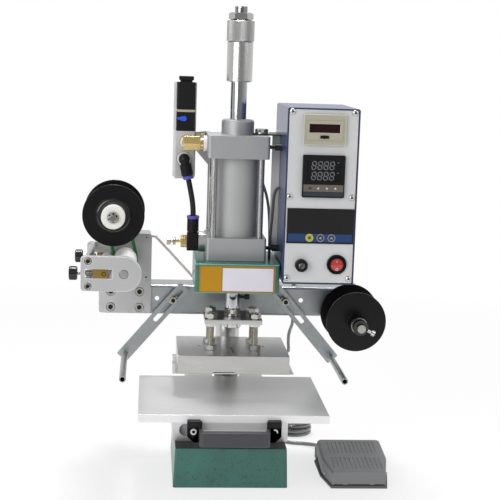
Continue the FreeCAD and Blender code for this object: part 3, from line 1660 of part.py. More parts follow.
def tube_ends():
    centre, down = tube_start()
    start = centre + down * (push_sleeve_start + push_sleeve_length + push_collar_length)
    flow_top = flow_z + flow_body_height / 2.0 + flow_waist_height + flow_sleeve_height
    end = V(flow_x, 0.0, flow_top + push_collar_length)
    return start, down, end


def air_tube():
    start, down, end = tube_ends()
    edges = biarc(start, down, end, V(0, 0, -1))
    return tube_along(edges, tube_outer_radius, start, down, "air tube")


def flow_valve():
    half = flow_body_height / 2.0
    side = flow_body_radius
    body = rounded_block(flow_x - side, flow_x + side, -side, side, flow_z - half, flow_z + half,
                         flow_corner, UP)
    waist_top = flow_z + half + flow_waist_height
    body = body.fuse(rod_z(flow_waist_radius, flow_z + half, waist_top, flow_x, 0.0))
    sleeve_top = waist_top + flow_sleeve_height
    body = body.fuse(rod_z(flow_sleeve_radius, waist_top, sleeve_top, flow_x, 0.0))
    body = body.fuse(rod_z(flow_sleeve_radius, sleeve_top, sleeve_top + push_collar_length, flow_x, 0.0))
    washer = rod_x(flow_washer_radius, flow_x + flow_body_radius, -lower_cap_side / 2.0, 0.0, flow_z)
    left = flow_x - flow_body_radius
    nut = hex_x(flow_nut_flats, left - flow_nut_length, left, 0.0, flow_z)
    needle_start = left - flow_nut_length - needle_length
    needle = rod_x(needle_radius, needle_start, left - flow_nut_length, 0.0, flow_z)
    lock_x = left - flow_nut_length - needle_lock_place
    lock = hex_x(needle_lock_flats, lock_x - needle_lock_length, lock_x, 0.0, flow_z)
    head = hex_x(needle_lock_flats, needle_start, needle_start + needle_head_length, 0.0, flow_z)
    return body.fuse(washer).fuse(nut).fuse(needle).fuse(lock).fuse(head).removeSplitter()


# Foot switch
def pedal_plan(grow, back, z0, z1):
    half = pedal_width / 2.0 + grow
    front_half = pedal_front_width / 2.0 + grow
    front = -pedal_front - grow
    corners = [
        V(pedal_x - front_half, front, z0), V(pedal_x + front_half, front, z0),
        V(pedal_x + half, -pedal_taper_start, z0), V(pedal_x + half, back, z0),
        V(pedal_x - half, back, z0), V(pedal_x - half, -pedal_taper_start, z0),
    ]
    solid = prism(corners, V(0, 0, z1 - z0))
    rear = [edge for edge in edges_along(solid, UP) if abs(edge.BoundBox.YMin - back) < 1e-3]
    return solid.makeFillet(pedal_corner + grow, rear)


def pedal_half_at_pivot():
    share = (pedal_pivot_front - pedal_taper_start) / (pedal_front - pedal_taper_start)
    return (pedal_width - share * (pedal_width - pedal_front_width)) / 2.0


def pedal_base():
    tray = pedal_plan(pedal_base_margin, pedal_tray_back, 0.0, pedal_base_height)
    inset = pedal_wall + pedal_core_gap
    core = pedal_plan(-inset, pedal_back - inset - pedal_core_back_gap, pedal_base_height, pedal_core_height)
    tail_half = pedal_tail_width / 2.0
    tail = block(pedal_tail_x - tail_half, pedal_tail_x + tail_half, pedal_tail_front, pedal_base_back, 0.0,
                 pedal_core_height)
    base = tray.fuse(core).fuse(tail).removeSplitter()
    reach = pedal_half_at_pivot() + pedal_pin_reach
    pin = rod_x(pedal_pin_radius, pedal_x - reach, pedal_x + reach, -pedal_pivot_front, pedal_pivot_height)
    return base.fuse(pin)


def foot_pedal():
    left = pedal_x - pedal_width / 2.0
    side = [
        V(left, -pedal_front, pedal_bottom), V(left, -pedal_front, pedal_front_height),
        V(left, pedal_back, pedal_back_height), V(left, pedal_back, pedal_bottom + pedal_back_lift),
        V(left, -pedal_pivot_front, pedal_bottom),
    ]
    body = prism(side, V(pedal_width, 0, 0)).common(pedal_plan(0.0, pedal_back, 0.0, pedal_back_height))
    top_edges = [edge for edge in body.Edges if edge.BoundBox.ZMin > pedal_front_height - fit_clearance]
    body = body.makeFillet(pedal_edge, top_edges)
    wall = pedal_wall
    floor = pedal_bottom - cut_margin
    inside = [
        V(left, -pedal_front + wall, floor), V(left, -pedal_front + wall, pedal_front_height - wall),
        V(left, pedal_back - wall, pedal_back_height - wall), V(left, pedal_back - wall, floor),
    ]
    inner_plan = pedal_plan(-wall, pedal_back - wall, 0.0, pedal_back_height)
    body = body.cut(prism(inside, V(pedal_width, 0, 0)).common(inner_plan))
    slope = math.atan2(pedal_back_height - pedal_front_height, pedal_back + pedal_front)
    length = pedal_back + pedal_front
    band_start = (length - pedal_band) / 2.0
    band_end = band_start + pedal_band
    runs = [(pedal_rib_margin, band_start), (band_end, length - pedal_rib_margin)]
    first = pedal_x - pedal_rib_pitch * (pedal_rib_count - 1) / 2.0
    for rib in range(pedal_rib_count):
        x = first + rib * pedal_rib_pitch
        for start, end in runs:
            groove = block(x - pedal_rib_width / 2.0, x + pedal_rib_width / 2.0, start, end, -pedal_rib_depth,
                           pedal_rib_depth)
            groove.rotate(V(0, 0, 0), RIGHT, math.degrees(slope))
            groove.translate(V(0, -pedal_front, pedal_front_height))
            body = body.cut(groove)
    hole = pedal_pin_radius + running_clearance
    return body.cut(rod_x(hole, left, left + pedal_width, -pedal_pivot_front, pedal_pivot_height))


# Cord of the foot switch
def pedal_cord():
    return tube_through(cord_points, cord_radius, "pedal cord")


def coil_nodes():
    nodes = []
    radius = coil_outer
    z = coil_centre.z
    step = -coil_step / 2.0
    for layer in range(coil_layers):
        for half_turn in range(coil_half_turns + 1):
            side = 1.0 if len(nodes) % 2 == 0 else -1.0
            place = V(coil_centre.x, coil_centre.y + side * radius, z)
            nodes.append((place, V(side, 0, 0)))
            if half_turn < coil_half_turns:
                radius += step
        step = -step
        z += coil_layer
    return nodes


def least_gap(edges):
    points = []
    for edge in edges:
        points += edge.discretize(9)[:-1]
    smallest = None
    for first in range(len(points)):
        for second in range(first + 20, len(points)):
            gap = points[first].distanceToPoint(points[second]) - 2.0 * cord_radius
            smallest = gap if smallest is None else min(smallest, gap)
    return smallest


def pedal_hank():
    nodes = coil_nodes()
    start = cord_points[-1]
    tangent = (cord_points[-1] - cord_points[-2]).normalize()
    last_z = nodes[-1][0].z
    gland_end = V(base_gland_x, base_depth - base_front + gland_nut_length + gland_length, last_z)
    route = [(start, tangent)] + nodes + [(gland_end, V(0, -1, 0))]
    edges = []
    for (point, direction), (next_point, next_direction) in zip(route, route[1:]):
        edges += biarc(point, direction, next_point, next_direction)
    print("coil least gap", round(least_gap(edges), 2))
    return tube_along(edges, cord_radius, start, tangent, "coil")


def cord_glands():
    cord_start = cord_points[0]
    pedal_gland = Part.makeCone(gland_radius, cord_radius + gland_tip, cord_start.y - pedal_base_back,
                                V(cord_start.x, pedal_base_back, cord_start.z), BACK)
    base_back = base_depth - base_front
    z = coil_centre.z + coil_layer * (coil_layers - 1)
    neck = rod_y(gland_radius, base_back - base_wall, base_back, base_gland_x, z)
    nut = hexagon(gland_nut_flats, V(base_gland_x, base_back, z), V(0, gland_nut_length, 0), UP)
    sleeve_front = base_back + gland_nut_length
    sleeve = rod_y(gland_radius, sleeve_front, sleeve_front + gland_length, base_gland_x, z)
    return group([pedal_gland, neck.fuse(nut).fuse(sleeve).removeSplitter()])


def wire_leads():
    return group([
        tube_through(motor_lead_points, lead_radius, "motor lead"),
        tube_through(valve_lead_points, lead_radius, "valve lead"),
        tube_through(box_lead_points, lead_radius, "box lead"),
    ])


def heater_cable():
    return tube_through(heater_cable_points, heater_cable_radius, "heater cable")


os.makedirs("parts", exist_ok=True)
save("base_casting", base_casting())
save("slide_block", slide_block())
save("column", column())
save("worktable", worktable())
save("carriage_plate", carriage_plate())
save("table_handle", table_handle())
save("heater_platen", heater_platen())
save("die_plate", die_plate())
save("platen_studs", platen_studs())
save("stud_plate", stud_plate())
save("piston_rod", piston_rod())
save("ram_nuts", ram_nuts())
save("stroke_adjuster", stroke_adjuster())
save("head_casting", head_casting())
save("lower_cap", lower_cap())
save("cylinder_tube", cylinder_tube())
save("top_cap", top_cap())
save("tie_rods", tie_rods())
save("crossbar", crossbar())
save("frame_bolts", frame_bolts())
save("left_arm", slotted_arm(-1))
save("right_arm", slotted_arm(1))
save("feed_front_plate", feed_front_plate())
save("feed_back_plate", feed_back_plate())
save("feed_spacers", feed_spacers())
save("feed_motor", feed_motor())
save("drive_roller", drive_roller())
save("pinch_roller", pinch_roller())
save("pinch_slider", pinch_slider())
save("front_knob", tension_knob((front_plate_front + front_plate_back) / 2.0))
save("rear_knob", tension_knob((plate_front_face + crossbar_front) / 2.0))
save("drive_belt", drive_belt())
save("take_up_reel", take_up_reel())
save("supply_reel", supply_reel())
save("supply_shaft", supply_shaft())
save("control_case", control_case())
save("control_panel", control_panel())
save("counter_body", counter_body())
save("counter_reset", counter_reset())
save("temp_controller", temp_controller())
save("set_timer_button", timer_button(0))
save("left_timer_button", timer_button(1))
save("right_timer_button", timer_button(2))
save("fuse_cap", fuse_cap())
save("rocker_switch", rocker_switch())
save("box_bracket", box_bracket())
save("valve_body", valve_body())
save("valve_coil", valve_coil())
save("valve_override", valve_override())
save("brass_elbow", brass_elbow())
save("push_elbow", push_elbow())
save("air_tube", air_tube())
save("flow_valve", flow_valve())
save("pedal_base", pedal_base())
save("foot_pedal", foot_pedal())
save("pedal_cord", pedal_cord())
save("pedal_hank", pedal_hank())
save("cord_glands", cord_glands())
save("wire_leads", wire_leads())
save("heater_cable", heater_cable())
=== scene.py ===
import bpy
import json
import math
from mathutils import Matrix, Quaternion, Vector

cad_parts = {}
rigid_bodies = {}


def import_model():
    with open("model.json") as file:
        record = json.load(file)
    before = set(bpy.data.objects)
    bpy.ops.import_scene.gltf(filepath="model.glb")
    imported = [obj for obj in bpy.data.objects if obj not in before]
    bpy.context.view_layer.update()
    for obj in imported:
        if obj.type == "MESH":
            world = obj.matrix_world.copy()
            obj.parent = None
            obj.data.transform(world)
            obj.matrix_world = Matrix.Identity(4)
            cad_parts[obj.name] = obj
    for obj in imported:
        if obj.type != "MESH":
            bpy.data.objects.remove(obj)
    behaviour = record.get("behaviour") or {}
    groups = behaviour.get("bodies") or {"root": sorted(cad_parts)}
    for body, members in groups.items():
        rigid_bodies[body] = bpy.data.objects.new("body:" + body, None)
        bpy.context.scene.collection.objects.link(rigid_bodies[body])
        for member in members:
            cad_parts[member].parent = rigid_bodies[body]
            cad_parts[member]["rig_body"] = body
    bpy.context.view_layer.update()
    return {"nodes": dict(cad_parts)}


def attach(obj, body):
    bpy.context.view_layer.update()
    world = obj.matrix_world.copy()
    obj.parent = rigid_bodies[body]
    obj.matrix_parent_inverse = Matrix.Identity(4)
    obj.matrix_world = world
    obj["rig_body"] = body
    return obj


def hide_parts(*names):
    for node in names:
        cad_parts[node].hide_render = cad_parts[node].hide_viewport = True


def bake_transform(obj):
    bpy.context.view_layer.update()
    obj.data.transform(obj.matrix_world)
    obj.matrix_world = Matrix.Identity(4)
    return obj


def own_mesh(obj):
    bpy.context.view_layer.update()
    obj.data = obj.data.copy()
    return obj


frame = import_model()
nodes = frame["nodes"]
mm = 0.001
forward = (0, -1, 0)


# selection and modifiers
def deselectAll():
    bpy.ops.object.select_all(action="DESELECT")


def activate(obj):
    deselectAll()
    obj.select_set(True)
    bpy.context.view_layer.objects.active = obj


def editAll(obj):
    activate(obj)
    bpy.ops.object.mode_set(mode="EDIT")
    bpy.ops.mesh.select_all(action="SELECT")


def leaveEdit():
    bpy.ops.object.mode_set(mode="OBJECT")


def applyModifier(obj, kind, **settings):
    activate(obj)
    modifier = obj.modifiers.new(kind.title(), kind)
    for key, value in settings.items():
        setattr(modifier, key, value)
    bpy.ops.object.modifier_apply(modifier=modifier.name)


def applyPlace(obj):
    activate(obj)
    bpy.ops.object.transform_apply(location=True, rotation=True, scale=True)


def roundEdges(obj, width, segments=2, angle=35, material=-1):
    applyModifier(obj, "BEVEL", width=width * mm, segments=segments, limit_method="ANGLE",
                  angle_limit=math.radians(angle), use_clamp_overlap=False, material=material)


def smoothShade(obj, angle=32):
    activate(obj)
    bpy.ops.object.shade_smooth_by_angle(angle=math.radians(angle))
    applyModifier(obj, "WEIGHTED_NORMAL", keep_sharp=True)


def pickFaces(obj, test):
    editAll(obj)
    bpy.ops.mesh.select_mode(type="FACE")
    bpy.ops.mesh.select_all(action="DESELECT")
    leaveEdit()
    for face in obj.data.polygons:
        face.select = bool(test(face.center / mm, face.normal))
    bpy.ops.object.mode_set(mode="EDIT")


def cutBy(obj, cutter, operation="DIFFERENCE"):
    carried = "TRANSFER" if cutter.data.materials else "INDEX"
    applyModifier(obj, "BOOLEAN", object=cutter, operation=operation, solver="EXACT", material_mode=carried)
    bpy.data.objects.remove(cutter)


def joinAll(name, pieces):
    deselectAll()
    for piece in pieces:
        piece.select_set(True)
    bpy.context.view_layer.objects.active = pieces[0]
    bpy.ops.object.join()
    pieces[0].name = name
    return pieces[0]


def copyMoved(obj, shift):
    twin = obj.copy()
    twin.data = obj.data.copy()
    bpy.context.scene.collection.objects.link(twin)
    twin.location = Vector(shift) * mm
    applyPlace(twin)
    return twin


# starting shapes, in millimetres
def addBox(name, low, high):
    deselectAll()
    bpy.ops.mesh.primitive_cube_add(size=1, location=[(a + b) / 2 * mm for a, b in zip(low, high)])
    obj = bpy.context.object
    obj.scale = [(b - a) * mm for a, b in zip(low, high)]
    obj.name = name
    applyPlace(obj)
    return obj


def standOn(obj, start, along, turn=0.0):
    obj.rotation_mode = "QUATERNION"
    obj.rotation_quaternion = Vector(along).to_track_quat("Z", "Y") @ Quaternion((0, 0, 1), turn)
    obj.location = Vector(start) * mm
    applyPlace(obj)
    obj.rotation_mode = "XYZ"


def addRod(name, radius, start, end, sides=48, turn=0.0):
    along = Vector(end) - Vector(start)
    deselectAll()
    bpy.ops.mesh.primitive_cylinder_add(vertices=sides, radius=radius * mm, depth=along.length * mm)
    obj = bpy.context.object
    obj.name = name
    standOn(obj, (Vector(start) + Vector(end)) / 2, along, turn)
    return obj


def addRounded(name, radius, start, end, sides, edge, segments=2, angle=35):
    rod = addRod(name, radius, start, end, sides)
    roundEdges(rod, edge, segments, angle)
    return rod


# a profile of radius and height pairs, spun about its axis
def addTurned(name, profile, start, along, steps=48):
    deselectAll()
    bpy.ops.mesh.primitive_plane_add(size=mm)
    obj = bpy.context.object
    obj.name = name
    bpy.ops.object.mode_set(mode="EDIT")
    bpy.ops.mesh.select_mode(type="VERT")
    bpy.ops.mesh.select_all(action="SELECT")
    bpy.ops.mesh.merge(type="CENTER")
    bpy.ops.transform.translate(value=(profile[0][0] * mm, 0, profile[0][1] * mm))
    for here, there in zip(profile, profile[1:]):
        step = ((there[0] - here[0]) * mm, 0, (there[1] - here[1]) * mm)
        bpy.ops.mesh.extrude_vertices_move(TRANSFORM_OT_translate={"value": step})
    bpy.ops.mesh.select_all(action="SELECT")
    bpy.ops.mesh.spin(steps=steps, angle=2 * math.pi, center=(0, 0, 0), axis=(0, 0, 1))
    bpy.ops.mesh.select_all(action="SELECT")
    bpy.ops.mesh.remove_doubles(threshold=1e-6)
    bpy.ops.mesh.normals_make_consistent(inside=False)
    leaveEdit()
    standOn(obj, start, along)
    return obj


# a shader node with its settings, and its inputs as numbers or as sockets of other nodes
def addNode(tree, kind, inputs=None, **settings):
    node = tree.nodes.new("ShaderNode" + kind)
    for key, value in settings.items():
        setattr(node, key, value)
    for key, value in (inputs or {}).items():
        if isinstance(value, bpy.types.NodeSocket):
            tree.links.new(value, node.inputs[key])
        else:
            node.inputs[key].default_value = value
    return node


def mathNode(tree, operation, first, second):
    return addNode(tree, "Math", {0: first, 1: second}, operation=operation).outputs[0]


def mixColour(tree, factor, first, second):
    ends = [value if isinstance(value, bpy.types.NodeSocket) else (*value, 1.0) for value in (first, second)]
    return addNode(tree, "Mix", {0: factor, 6: ends[0], 7: ends[1]}, data_type="RGBA").outputs[2]


def remap(tree, value, low, high, fromLow=0.3, fromHigh=0.7):
    limits = {"From Min": fromLow, "From Max": fromHigh, "To Min": low, "To Max": high}
    return addNode(tree, "MapRange", {"Value": value, **limits}).outputs[0]


# node groups shared by the finishes
def groupWith(name, inputs, outputs):
    tree = bpy.data.node_groups.new(name, "ShaderNodeTree")
    for label, kind, value in inputs:
        tree.interface.new_socket(label, in_out="INPUT", socket_type=kind).default_value = value
    for label in outputs:
        tree.interface.new_socket(label, in_out="OUTPUT", socket_type="NodeSocketFloat")
    return tree, tree.nodes.new("NodeGroupInput"), tree.nodes.new("NodeGroupOutput")


def makeGrain():
    tree, start, end = groupWith("fineGrain", [
        ("Stretch", "NodeSocketVector", (1, 1, 1)), ("Grain Scale", "NodeSocketFloat", 900.0),
        ("Drift Scale", "NodeSocketFloat", 12.0),
    ], ["Grain", "Drift"])
    place = addNode(tree, "TexCoord").outputs["Object"]
    stretched = addNode(tree, "VectorMath", {0: place, 1: start.outputs["Stretch"]}, operation="MULTIPLY")
    for label, vector, detail in (("Grain", stretched.outputs[0], 3), ("Drift", place, 4)):
        noise = addNode(tree, "TexNoise", {"Vector": vector, "Scale": start.outputs[label + " Scale"],
                                           "Detail": detail, "Roughness": 0.55})
        tree.links.new(noise.outputs[0], end.inputs[label])
    return tree


def makeFlecks():
    tree, start, end = groupWith("paintFlecks", [
        ("Cell Scale", "NodeSocketFloat", 260.0), ("Amount", "NodeSocketFloat", 0.3),
    ], ["Fleck", "Height"])
    place = addNode(tree, "TexCoord").outputs["Object"]
    cells = addNode(tree, "TexVoronoi", {"Vector": place, "Scale": start.outputs["Cell Scale"]})
    cloud = addNode(tree, "TexNoise", {"Vector": place, "Scale": 300, "Detail": 4, "Roughness": 0.7})
    fleck = remap(tree, cloud.outputs[0], 1.0, 0.0, 0.3, start.outputs["Amount"])
    tree.links.new(fleck, end.inputs["Fleck"])
    tree.links.new(cells.outputs["Distance"], end.inputs["Height"])
    return tree


grainGroup = makeGrain()
fleckGroup = makeFlecks()
bumpDepth = 0.0004


# every finish starts here: drifting colour, grain in the roughness and a fine bump
def makeFinish(name, colour, drift, rough, metal=0.0, stretch=(1, 1, 1), grain=900, driftScale=14,
               roughSpread=0.06, bump=0.05, coat=0.0, grainTone=0.0, flecks=None, gloss=0.5):
    material = bpy.data.materials.new(name)
    material.use_nodes = True
    tree = material.node_tree
    shader = tree.nodes["Principled BSDF"]
    for label, value in (("Metallic", metal), ("Coat Weight", coat), ("Specular IOR Level", gloss)):
        shader.inputs[label].default_value = value
    detail = addNode(tree, "Group", {"Stretch": stretch, "Grain Scale": grain, "Drift Scale": driftScale},
                     node_tree=grainGroup)
    height = detail.outputs["Grain"]
    tone = mixColour(tree, remap(tree, detail.outputs["Drift"], 0.0, 1.0), colour, drift)
    if grainTone:
        darker = tuple(channel * (1.0 - grainTone) for channel in colour)
        tone = mixColour(tree, remap(tree, detail.outputs["Grain"], 0.0, 0.6), tone, darker)
    if flecks:
        paint = addNode(tree, "Group", {"Cell Scale": flecks["cells"], "Amount": flecks["amount"]},
                        node_tree=fleckGroup)
        tone = mixColour(tree, paint.outputs["Fleck"], tone, flecks["colour"])
        height = paint.outputs["Height"]
    rough = remap(tree, detail.outputs["Grain"], rough - roughSpread, rough + roughSpread)
    relief = addNode(tree, "Bump", {"Strength": bump, "Distance": bumpDepth, "Height": height})
    for socket, label in ((tone, "Base Color"), (rough, "Roughness"), (relief.outputs["Normal"], "Normal")):
        tree.links.new(socket, shader.inputs[label])
    return material


def finish(name, colour, drift, rough, **more):
    finishes[name] = makeFinish(name, colour, drift, rough, **more)


finishes = {}
# paints
finish("castGreen", (0.026, 0.115, 0.088), (0.034, 0.15, 0.115), 0.40, coat=0.25, bump=0.35,
       driftScale=30, flecks={"cells": 420, "amount": 0.44, "colour": (0.010, 0.045, 0.036)})
# lighter teal for the head's bevels: a painted highlight along its edges
finish("castEdgeHighlight", (0.13, 0.40, 0.30), (0.09, 0.30, 0.23), 0.36, coat=0.2)
# near-black for the base's top faces: its own black top, partly painted shade where it lies under the table
finish("baseTopBlackAndShade", (0.020, 0.020, 0.018), (0.032, 0.030, 0.026), 0.5, grain=1100, bump=0.1)
finish("greyPaint", (0.48, 0.48, 0.485), (0.44, 0.44, 0.445), 0.42, grain=1400, bump=0.10, coat=0.1)
# a darker copy of the grey paint for the front plate: painted shade that holds it down where the front lamp
# falls fully on it
finish("frontPlateShadedGrey", (0.40, 0.40, 0.405), (0.37, 0.37, 0.375), 0.42, grain=1400, bump=0.10, coat=0.1)
# pale grey: a painted highlight on the feed plates' bevels, also worn by the plate set screws
finish("paleGreyAndEdgeHighlight", (0.66, 0.66, 0.66), (0.60, 0.60, 0.60), 0.36, grain=1400, bump=0.05)
finish("casePaint", (0.040, 0.062, 0.165), (0.032, 0.050, 0.135), 0.34, grain=1700, bump=0.12, coat=0.3)
# deep navy for the case's bevels: painted shade along its edges
finish("caseEdgeShade", (0.010, 0.020, 0.075), (0.008, 0.016, 0.06), 0.34, grain=1700, bump=0.08)
finish("panelPaint", (0.535, 0.54, 0.545), (0.50, 0.505, 0.51), 0.40, grain=2200, bump=0.05)
finish("plateOrange", (0.43, 0.22, 0.006), (0.38, 0.19, 0.005), 0.42, grain=1500, bump=0.05, gloss=0.25)
finish("plateBorder", (0.30, 0.17, 0.025), (0.25, 0.14, 0.02), 0.4, grain=1500, bump=0.05)
finish("platePale", (0.62, 0.60, 0.66), (0.57, 0.55, 0.61), 0.4, grain=1500, bump=0.04)
# metals
finish("satinAluminium", (0.47, 0.48, 0.485), (0.42, 0.43, 0.435), 0.50, metal=0.8, grain=2600, bump=0.04)
finish("boreAluminium", (0.40, 0.41, 0.41), (0.37, 0.38, 0.38), 0.55, metal=0.2, stretch=(1, 1, 0.03),
       grain=1200, bump=0.03, grainTone=0.05)
finish("sleeveAluminium", (0.72, 0.72, 0.70), (0.65, 0.65, 0.63), 0.26, metal=1.0, stretch=(1, 1, 0.04),
       grain=1500, bump=0.004, grainTone=0.03, roughSpread=0.03)
finish("knurlAluminium", (0.50, 0.50, 0.49), (0.45, 0.45, 0.44), 0.42, metal=1.0, grain=2600, bump=0.04)
finish("tableAluminium", (0.70, 0.70, 0.70), (0.63, 0.63, 0.63), 0.32, metal=0.35, stretch=(0.035, 1, 1),
       grain=1500, driftScale=9, bump=0.05, grainTone=0.16, roughSpread=0.05)
# a lighter copy of the table aluminium for its front face: a painted highlight
finish("tableFrontHighlight", (0.76, 0.76, 0.76), (0.70, 0.70, 0.70), 0.4, metal=0.1, stretch=(0.05, 1, 1),
       grain=1500, bump=0.04, grainTone=0.05)
finish("blockAluminium", (0.74, 0.75, 0.76), (0.68, 0.69, 0.70), 0.38, metal=1.0, stretch=(0.05, 1, 1),
       grain=1300, bump=0.04, grainTone=0.06)
finish("platenAluminium", (0.68, 0.67, 0.66), (0.58, 0.58, 0.57), 0.33, metal=1.0, stretch=(0.04, 1, 1),
       grain=1200, driftScale=22, bump=0.06, grainTone=0.12)
finish("brightSteel", (0.66, 0.66, 0.65), (0.58, 0.58, 0.57), 0.20, metal=1.0, grain=2200, bump=0.02)
finish("nutSteel", (0.70, 0.69, 0.66), (0.60, 0.59, 0.56), 0.16, metal=1.0, grain=2500, bump=0.03)
finish("threadSteel", (0.60, 0.56, 0.49), (0.50, 0.47, 0.41), 0.26, metal=1.0, grain=1800, bump=0.04)
finish("groundSteel", (0.58, 0.58, 0.57), (0.53, 0.53, 0.52), 0.26, metal=1.0, stretch=(1, 1, 0.05),
       grain=1600, bump=0.008, grainTone=0.02, roughSpread=0.02)
finish("rodChrome", (0.60, 0.61, 0.63), (0.54, 0.55, 0.58), 0.12, metal=1.0, stretch=(1, 1, 0.1),
       bump=0.01, roughSpread=0.03)
finish("zincSheet", (0.49, 0.51, 0.52), (0.40, 0.43, 0.44), 0.38, metal=1.0, grain=500, driftScale=60,
       bump=0.04, grainTone=0.12, roughSpread=0.10)
finish("paleZinc", (0.66, 0.66, 0.66), (0.60, 0.60, 0.60), 0.34, metal=1.0, grain=1500, bump=0.03)
finish("darkPlate", (0.16, 0.16, 0.16), (0.22, 0.22, 0.22), 0.34, metal=1.0, stretch=(0.1, 1, 1),
       grain=1200, bump=0.05)
finish("screwSteel", (0.52, 0.51, 0.47), (0.44, 0.43, 0.39), 0.22, metal=1.0, grain=1600, bump=0.04)
finish("studSteel", (0.30, 0.30, 0.29), (0.24, 0.24, 0.23), 0.2, metal=1.0, grain=1600, bump=0.03)
finish("whiteZinc", (0.80, 0.80, 0.79), (0.74, 0.74, 0.73), 0.36, metal=0.15, grain=1500, bump=0.03)
finish("valveAluminium", (0.56, 0.56, 0.56), (0.51, 0.51, 0.51), 0.42, metal=0.35, grain=2400, bump=0.04)
# black for the walls of sockets, recesses, notches and slots: painted shade in them
finish("recessShadeBlack", (0.010, 0.010, 0.010), (0.014, 0.014, 0.014), 0.5, metal=0.2, grain=1600, bump=0.04)
finish("springSteel", (0.34, 0.34, 0.34), (0.26, 0.26, 0.26), 0.24, metal=1.0, grain=1600, bump=0.04)
finish("sliderBrass", (0.40, 0.265, 0.085), (0.31, 0.20, 0.06), 0.34, metal=0.9, grain=1200, bump=0.05,
       grainTone=0.15)
finish("blackSteel", (0.016, 0.016, 0.018), (0.03, 0.03, 0.031), 0.34, metal=0.4, grain=2000, bump=0.06)
finish("turnedBrass", (0.78, 0.60, 0.28), (0.70, 0.52, 0.21), 0.28, metal=1.0, grain=1500, bump=0.02,
       grainTone=0.05)
finish("pinBrown", (0.16, 0.085, 0.03), (0.11, 0.06, 0.022), 0.32, metal=0.8, grain=1500, bump=0.05)
finish("motorCan", (0.10, 0.10, 0.105), (0.13, 0.13, 0.135), 0.38, metal=0.6, stretch=(1, 0.1, 1),
       grain=1200, bump=0.05)
# plastics and rubber
finish("blackPlastic", (0.004, 0.004, 0.0045), (0.007, 0.007, 0.0075), 0.40, grain=1800, bump=0.10,
       gloss=0.25)
finish("bossGloss", (0.010, 0.010, 0.011), (0.013, 0.013, 0.014), 0.16, grain=2200, bump=0.02, gloss=0.7)
finish("reelPlastic", (0.0035, 0.0035, 0.004), (0.0055, 0.0055, 0.006), 0.30, grain=2200, bump=0.03,
       driftScale=20, gloss=0.25)
finish("coilPlastic", (0.006, 0.006, 0.007), (0.009, 0.009, 0.010), 0.46, grain=1500, bump=0.14,
       gloss=0.22)
finish("handlePlastic", (0.050, 0.047, 0.056), (0.042, 0.040, 0.048), 0.44, grain=1200, bump=0.12,
       gloss=0.4)
finish("pedalPlastic", (0.215, 0.217, 0.222), (0.195, 0.197, 0.202), 0.42, grain=1300, bump=0.12)
finish("pedalBasePlastic", (0.115, 0.115, 0.118), (0.10, 0.10, 0.102), 0.5, grain=1300, bump=0.12)
finish("slotShadow", (0.03, 0.03, 0.031), (0.045, 0.045, 0.046), 0.6, grain=1300, bump=0.05)
finish("whiteNylon", (0.74, 0.73, 0.69), (0.68, 0.67, 0.63), 0.45, grain=1500, bump=0.06)
finish("rollerRubber", (0.84, 0.84, 0.83), (0.78, 0.78, 0.77), 0.55, grain=1700, bump=0.05)
finish("blueCollar", (0.085, 0.075, 0.44), (0.070, 0.062, 0.36), 0.34, grain=1500, bump=0.04, coat=0.2)
finish("blueLever", (0.012, 0.10, 0.72), (0.010, 0.07, 0.55), 0.3, grain=1500, bump=0.03, coat=0.3)
finish("seamBeige", (0.42, 0.37, 0.27), (0.36, 0.32, 0.23), 0.5, grain=1500, bump=0.05)
finish("tubeRubber", (0.008, 0.008, 0.009), (0.013, 0.013, 0.014), 0.30, bump=0.04, coat=0.2, gloss=0.35)
finish("cordJacket", (0.20, 0.20, 0.20), (0.26, 0.26, 0.26), 0.34, bump=0.05, coat=0.35)
finish("tieStrap", (0.010, 0.010, 0.011), (0.018, 0.018, 0.019), 0.6, grain=2500, bump=0.3)
finish("leadJacket", (0.56, 0.56, 0.55), (0.50, 0.50, 0.49), 0.45, bump=0.06)
finish("pinkLead", (0.86, 0.78, 0.75), (0.80, 0.72, 0.69), 0.42, bump=0.06)
finish("darkLead", (0.085, 0.087, 0.092), (0.11, 0.112, 0.118), 0.42, bump=0.06)
finish("beltUrethane", (0.012, 0.15, 0.03), (0.018, 0.19, 0.045), 0.4, grain=1200, bump=0.06)
# instrument faces
finish("creamPlastic", (0.37, 0.355, 0.275), (0.34, 0.325, 0.25), 0.42, grain=1700, bump=0.06)
# pale cream for the counter's bevels: a painted highlight along its edges
finish("creamEdgeHighlight", (0.72, 0.70, 0.58), (0.66, 0.64, 0.53), 0.38, grain=1700, bump=0.05)
finish("windowRed", (0.014, 0.0035, 0.004), (0.020, 0.005, 0.0055), 0.22, grain=700, bump=0.01,
       gloss=0.25)
finish("windowBlack", (0.006, 0.006, 0.007), (0.009, 0.009, 0.010), 0.24, grain=700, bump=0.01,
       gloss=0.25)
finish("overlayBlack", (0.010, 0.010, 0.011), (0.014, 0.014, 0.015), 0.42, grain=1600, bump=0.05,
       gloss=0.22)
finish("stripBlue", (0.016, 0.048, 0.150), (0.013, 0.038, 0.12), 0.38, grain=1600, bump=0.04, gloss=0.3)
finish("keySlate", (0.045, 0.052, 0.065), (0.038, 0.044, 0.055), 0.42, grain=1600, bump=0.04, gloss=0.3)
finish("digitGrey", (0.145, 0.147, 0.152), (0.12, 0.122, 0.127), 0.4, grain=1600, bump=0.03, gloss=0.3)
finish("keypadBeige", (0.125, 0.110, 0.092), (0.11, 0.096, 0.08), 0.42, grain=1600, bump=0.05, gloss=0.3)
finish("keypadSlate", (0.032, 0.038, 0.05), (0.026, 0.031, 0.042), 0.42, grain=1600, bump=0.05, gloss=0.3)
finish("markPale", (0.58, 0.59, 0.60), (0.52, 0.53, 0.54), 0.42, grain=1600, bump=0.03)
finish("ringGrey", (0.32, 0.34, 0.37), (0.27, 0.29, 0.32), 0.42, grain=1600, bump=0.03)
finish("ringYellow", (0.70, 0.68, 0.16), (0.62, 0.60, 0.13), 0.4, grain=1600, bump=0.03)
